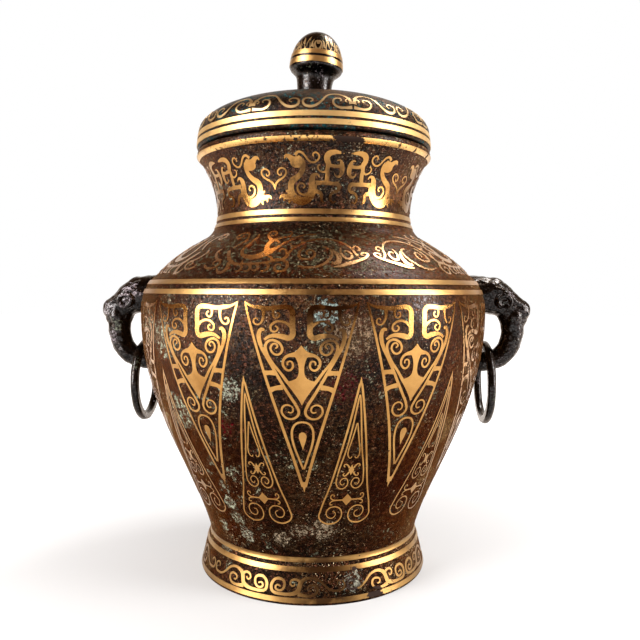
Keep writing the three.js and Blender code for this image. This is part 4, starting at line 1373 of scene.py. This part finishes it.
def handle(side, turn):
    """One handle, dented and turned to its side of the jar."""
    bm = handle_wax()
    for v in bm.verts:
        dents = DENTS * noise.noise(v.co * DENT_SCALE) + PIMPLES * noise.noise(v.co * PIMPLE_SCALE)
        v.co += v.normal * dents * MM
    bmesh.ops.rotate(bm, verts=bm.verts, matrix=Matrix.Rotation(turn, 3, "Z"))
    add_piece("cast_handle_" + side, bm, dark_bronze, "jar", ["handle_" + side], sharp=60)


handle("right", 0)
handle("left", math.pi)

# %% [markdown]
# ## Rings
# The rings are bent from round bar and hang loose. A torus would be too perfect: these are dented by use,
# and rubbed flat on the side that brushes the wall when they swing up. We spin a circle of wire and then
# push its vertices in. Each ring takes its place from the CAD ring that it stands for.

# %% Rings
RING_MEAN, RING_WIRE = 15.35, 1.94
RING_DENT, RING_DENT_SCALE = 0.35, 160
RUBBED_FLAT = 1.3 * MM
WALLWARD = {"right": -1, "left": 1}


def ring(side):
    """One ring, with the wall in its wallward direction along X."""
    low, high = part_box("ring_" + side)
    bm = bmesh.new()
    wire = bmesh.ops.create_circle(bm, segments=16, radius=RING_WIRE * MM)["verts"]
    bmesh.ops.translate(bm, verts=wire, vec=(0, RING_MEAN * MM, 0))
    bmesh.ops.spin(
        bm, geom=wire + bm.edges[:], axis=(1, 0, 0), cent=(0, 0, 0), angle=math.tau, steps=72, use_merge=True
    )
    bmesh.ops.recalc_face_normals(bm, faces=bm.faces)
    bm.normal_update()
    for v in bm.verts:
        v.co -= v.normal * abs(noise.noise(v.co * RING_DENT_SCALE)) * RING_DENT * MM
        v.co.x = WALLWARD[side] * min(WALLWARD[side] * v.co.x, RUBBED_FLAT)
    bmesh.ops.rotate(bm, verts=bm.verts, matrix=Matrix.Rotation(math.pi / 2, 3, "X"))
    bmesh.ops.translate(bm, verts=bm.verts, vec=(low + high) / 2)
    name = "ring_" + side
    add_piece("loose_" + name, bm, dark_bronze, name, [name], sharp=60)


for side in WALLWARD:
    ring(side)

# %% [markdown]
# ## Stage
# The jar stands on a plain white table in front of white. More light could make the white, but it would
# bleach the bronze. So the table and the world tell rays apart. The camera sees white, and so does metal
# that mirrors the table or what lies behind the jar. Towards the camera's side metal sees a dim warm room,
# which keeps it dark.


# %% Stage helpers
def ray_kinds(tree):
    """Whether a ray comes from the camera, and whether a piece mirrored it or let it through."""
    path = tree.nodes.new("ShaderNodeLightPath")
    mirrored = reckon(tree, "ADD", path.outputs["Is Glossy Ray"], path.outputs["Is Transmission Ray"])
    return path.outputs["Is Camera Ray"], mirrored


def choose(tree, share, first, second, output):
    """One shader or, by a share, another, sent to the output node of that name."""
    choice = tree.nodes.new("ShaderNodeMixShader")
    tree.links.new(share, choice.inputs["Fac"])
    tree.links.new(first, choice.inputs[1])
    tree.links.new(second, choice.inputs[2])
    tree.links.new(choice.outputs["Shader"], tree.nodes[output].inputs["Surface"])


def matt(tree, colour):
    """A diffuse shader of one colour."""
    node = tree.nodes.new("ShaderNodeBsdfDiffuse")
    node.inputs["Color"].default_value = (*colour, 1)
    return node.outputs["BSDF"]


print("stage helpers:", *[helper.__name__ for helper in (ray_kinds, choose, matt)])

# %% [markdown]
# ### Table
# A table that only glows would be white but take no shadow. This one adds a glow to a matt grey, with less
# glow close to the jar, so that the shadow there still shows. To the light that bounces it is a dull warm
# grey.

# %% Table
TABLE_RADIUS = 3.0
TABLE_SHOWN, TABLE_DULL = (0.36, 0.36, 0.36), (0.3, 0.26, 0.22)
GLOW_REACH, GLOW_LEAST = (0.05, 0.3), 0.36

floor_bm = bmesh.new()
bmesh.ops.create_circle(floor_bm, segments=64, radius=TABLE_RADIUS, cap_ends=True)
floor_mesh = bpy.data.meshes.new("floor")
floor_bm.to_mesh(floor_mesh)
floor_bm.free()
floor_material, tree, shader = finish("white_table")
tree.nodes.remove(shader)
away = tree.nodes.new("ShaderNodeVectorMath")
away.operation = "LENGTH"
tree.links.new(here(tree), away.inputs[0])
glow = tree.nodes.new("ShaderNodeEmission")
tree.links.new(window(tree, away.outputs["Value"], *GLOW_REACH, GLOW_LEAST, 1), glow.inputs["Strength"])
bright = tree.nodes.new("ShaderNodeAddShader")
tree.links.new(matt(tree, TABLE_SHOWN), bright.inputs[0])
tree.links.new(glow.outputs["Emission"], bright.inputs[1])
seen = reckon(tree, "MAXIMUM", *ray_kinds(tree))
choose(tree, seen, matt(tree, TABLE_DULL), bright.outputs["Shader"], "Material Output")
floor_mesh.materials.append(floor_material)
floor = bpy.data.objects.new("floor", floor_mesh)
bpy.context.scene.collection.objects.link(floor)
print("table of", 2 * TABLE_RADIUS, "m across")

# %% [markdown]
# ### World
# The world is what lies beyond the table. A ray from the camera gets plain white. A mirrored ray gets white
# only behind the jar, towards +Y, and elsewhere a dim brown room that is lighter below. White all round
# would be simpler, but then dark bronze would have nothing dark to mirror.

# %% World
ROOM_LOW, ROOM_HIGH = (0.6, 0.31, 0.11), (0.2, 0.095, 0.04)
ROOM_RISE, BEHIND = (-0.35, 0.1), (0.5, 0.8)

world = bpy.data.worlds.new("studio")
bpy.context.scene.world = world
world.use_nodes = True
tree = world.node_tree
way = tree.nodes.new("ShaderNodeSeparateXYZ")
tree.links.new(tree.nodes.new("ShaderNodeTexCoord").outputs["Generated"], way.inputs["Vector"])
room = tree.nodes["Background"]
rise = window(tree, way.outputs["Z"], *ROOM_RISE)
tree.links.new(tint(tree, rise, ROOM_LOW, ROOM_HIGH), room.inputs["Color"])
white = tree.nodes.new("ShaderNodeBackground")
white.inputs["Color"].default_value = (1, 1, 1, 1)
from_camera, mirrored = ray_kinds(tree)
behind = window(tree, way.outputs["Y"], *BEHIND)
shown = reckon(tree, "MAXIMUM", from_camera, reckon(tree, "MULTIPLY", mirrored, behind))
choose(tree, shown, room.outputs["Background"], white.outputs["Background"], "World Output")
print("world", world.name, "has", len(tree.nodes), "nodes")

# %% [markdown]
# ### Lights
# Metal shows the shape of its lamps. A point lamp would be a speck on the gold, so we use softboxes: two
# tall ones left and right of the camera draw bright stripes down the bands, a faint one fills the front,
# and a small one high behind lights the top. The camera doesn't see them.

# %% Lights
AIM = Vector((0, 0, 0.1))


def softbox(name, azimuth, height, distance, width, tall, power):
    """A softbox at an angle from the front, aimed at the jar, in metres and watts."""
    light = bpy.data.lights.new(name, "AREA")
    light.shape = "RECTANGLE"
    light.size, light.size_y = width, tall
    light.energy = power
    lamp = bpy.data.objects.new(name, light)
    angle = math.radians(azimuth)
    lamp.location = (distance * math.sin(angle), -distance * math.cos(angle), height)
    lamp.rotation_euler = (AIM - lamp.location).to_track_quat("-Z", "Y").to_euler()
    lamp.visible_camera = False
    bpy.context.scene.collection.objects.link(lamp)
    print(name, "of", power, "W")


softbox("left_softbox", -55, 0.42, 0.95, 0.56, 0.9, 25)
softbox("right_softbox", 76, 0.42, 0.95, 0.4, 0.9, 18)
softbox("front_softbox", 6, 0.72, 0.95, 0.8, 0.3, 0.2)
softbox("top_softbox", 124, 1.1, 0.6, 0.35, 0.35, 10)

# %% [markdown]
# ### Camera
# The camera stands where the photograph was taken from: close, a little to the side and looking slightly
# down, which is why the bands look like shallow arcs. Its place is given beside, in front of and above the
# jar's foot, so each number can be changed by itself. The Standard view shows colours as they are written.

# %% Camera
TURN, PITCH_DOWN, ROLL = math.radians(2.6), math.radians(2.56), math.radians(0.2)
CAMERA_BESIDE, CAMERA_BACK, CAMERA_UP = 2.75, 283.2, 113.2
SENSOR, LENS = 36, 37.93

camera_data = bpy.data.cameras.new("camera")
camera_data.sensor_width = SENSOR
camera_data.lens = LENS
camera = bpy.data.objects.new("camera", camera_data)
right = Vector((math.cos(TURN), math.sin(TURN), 0))
ahead = Vector((-math.sin(TURN), math.cos(TURN), 0))
camera.location = (CAMERA_BESIDE * right - CAMERA_BACK * ahead + Vector((0, 0, CAMERA_UP))) * MM
view = (
    Matrix.Rotation(TURN, 3, "Z")
    @ Matrix.Rotation(math.pi / 2 - PITCH_DOWN, 3, "X")
    @ Matrix.Rotation(ROLL, 3, "Z")
)
camera.rotation_euler = view.to_euler()
bpy.context.scene.collection.objects.link(camera)
bpy.context.scene.camera = camera
bpy.context.scene.view_settings.view_transform = "Standard"
print("camera", [round(c, 3) for c in camera.location], "in metres, with a lens of", LENS, "mm")
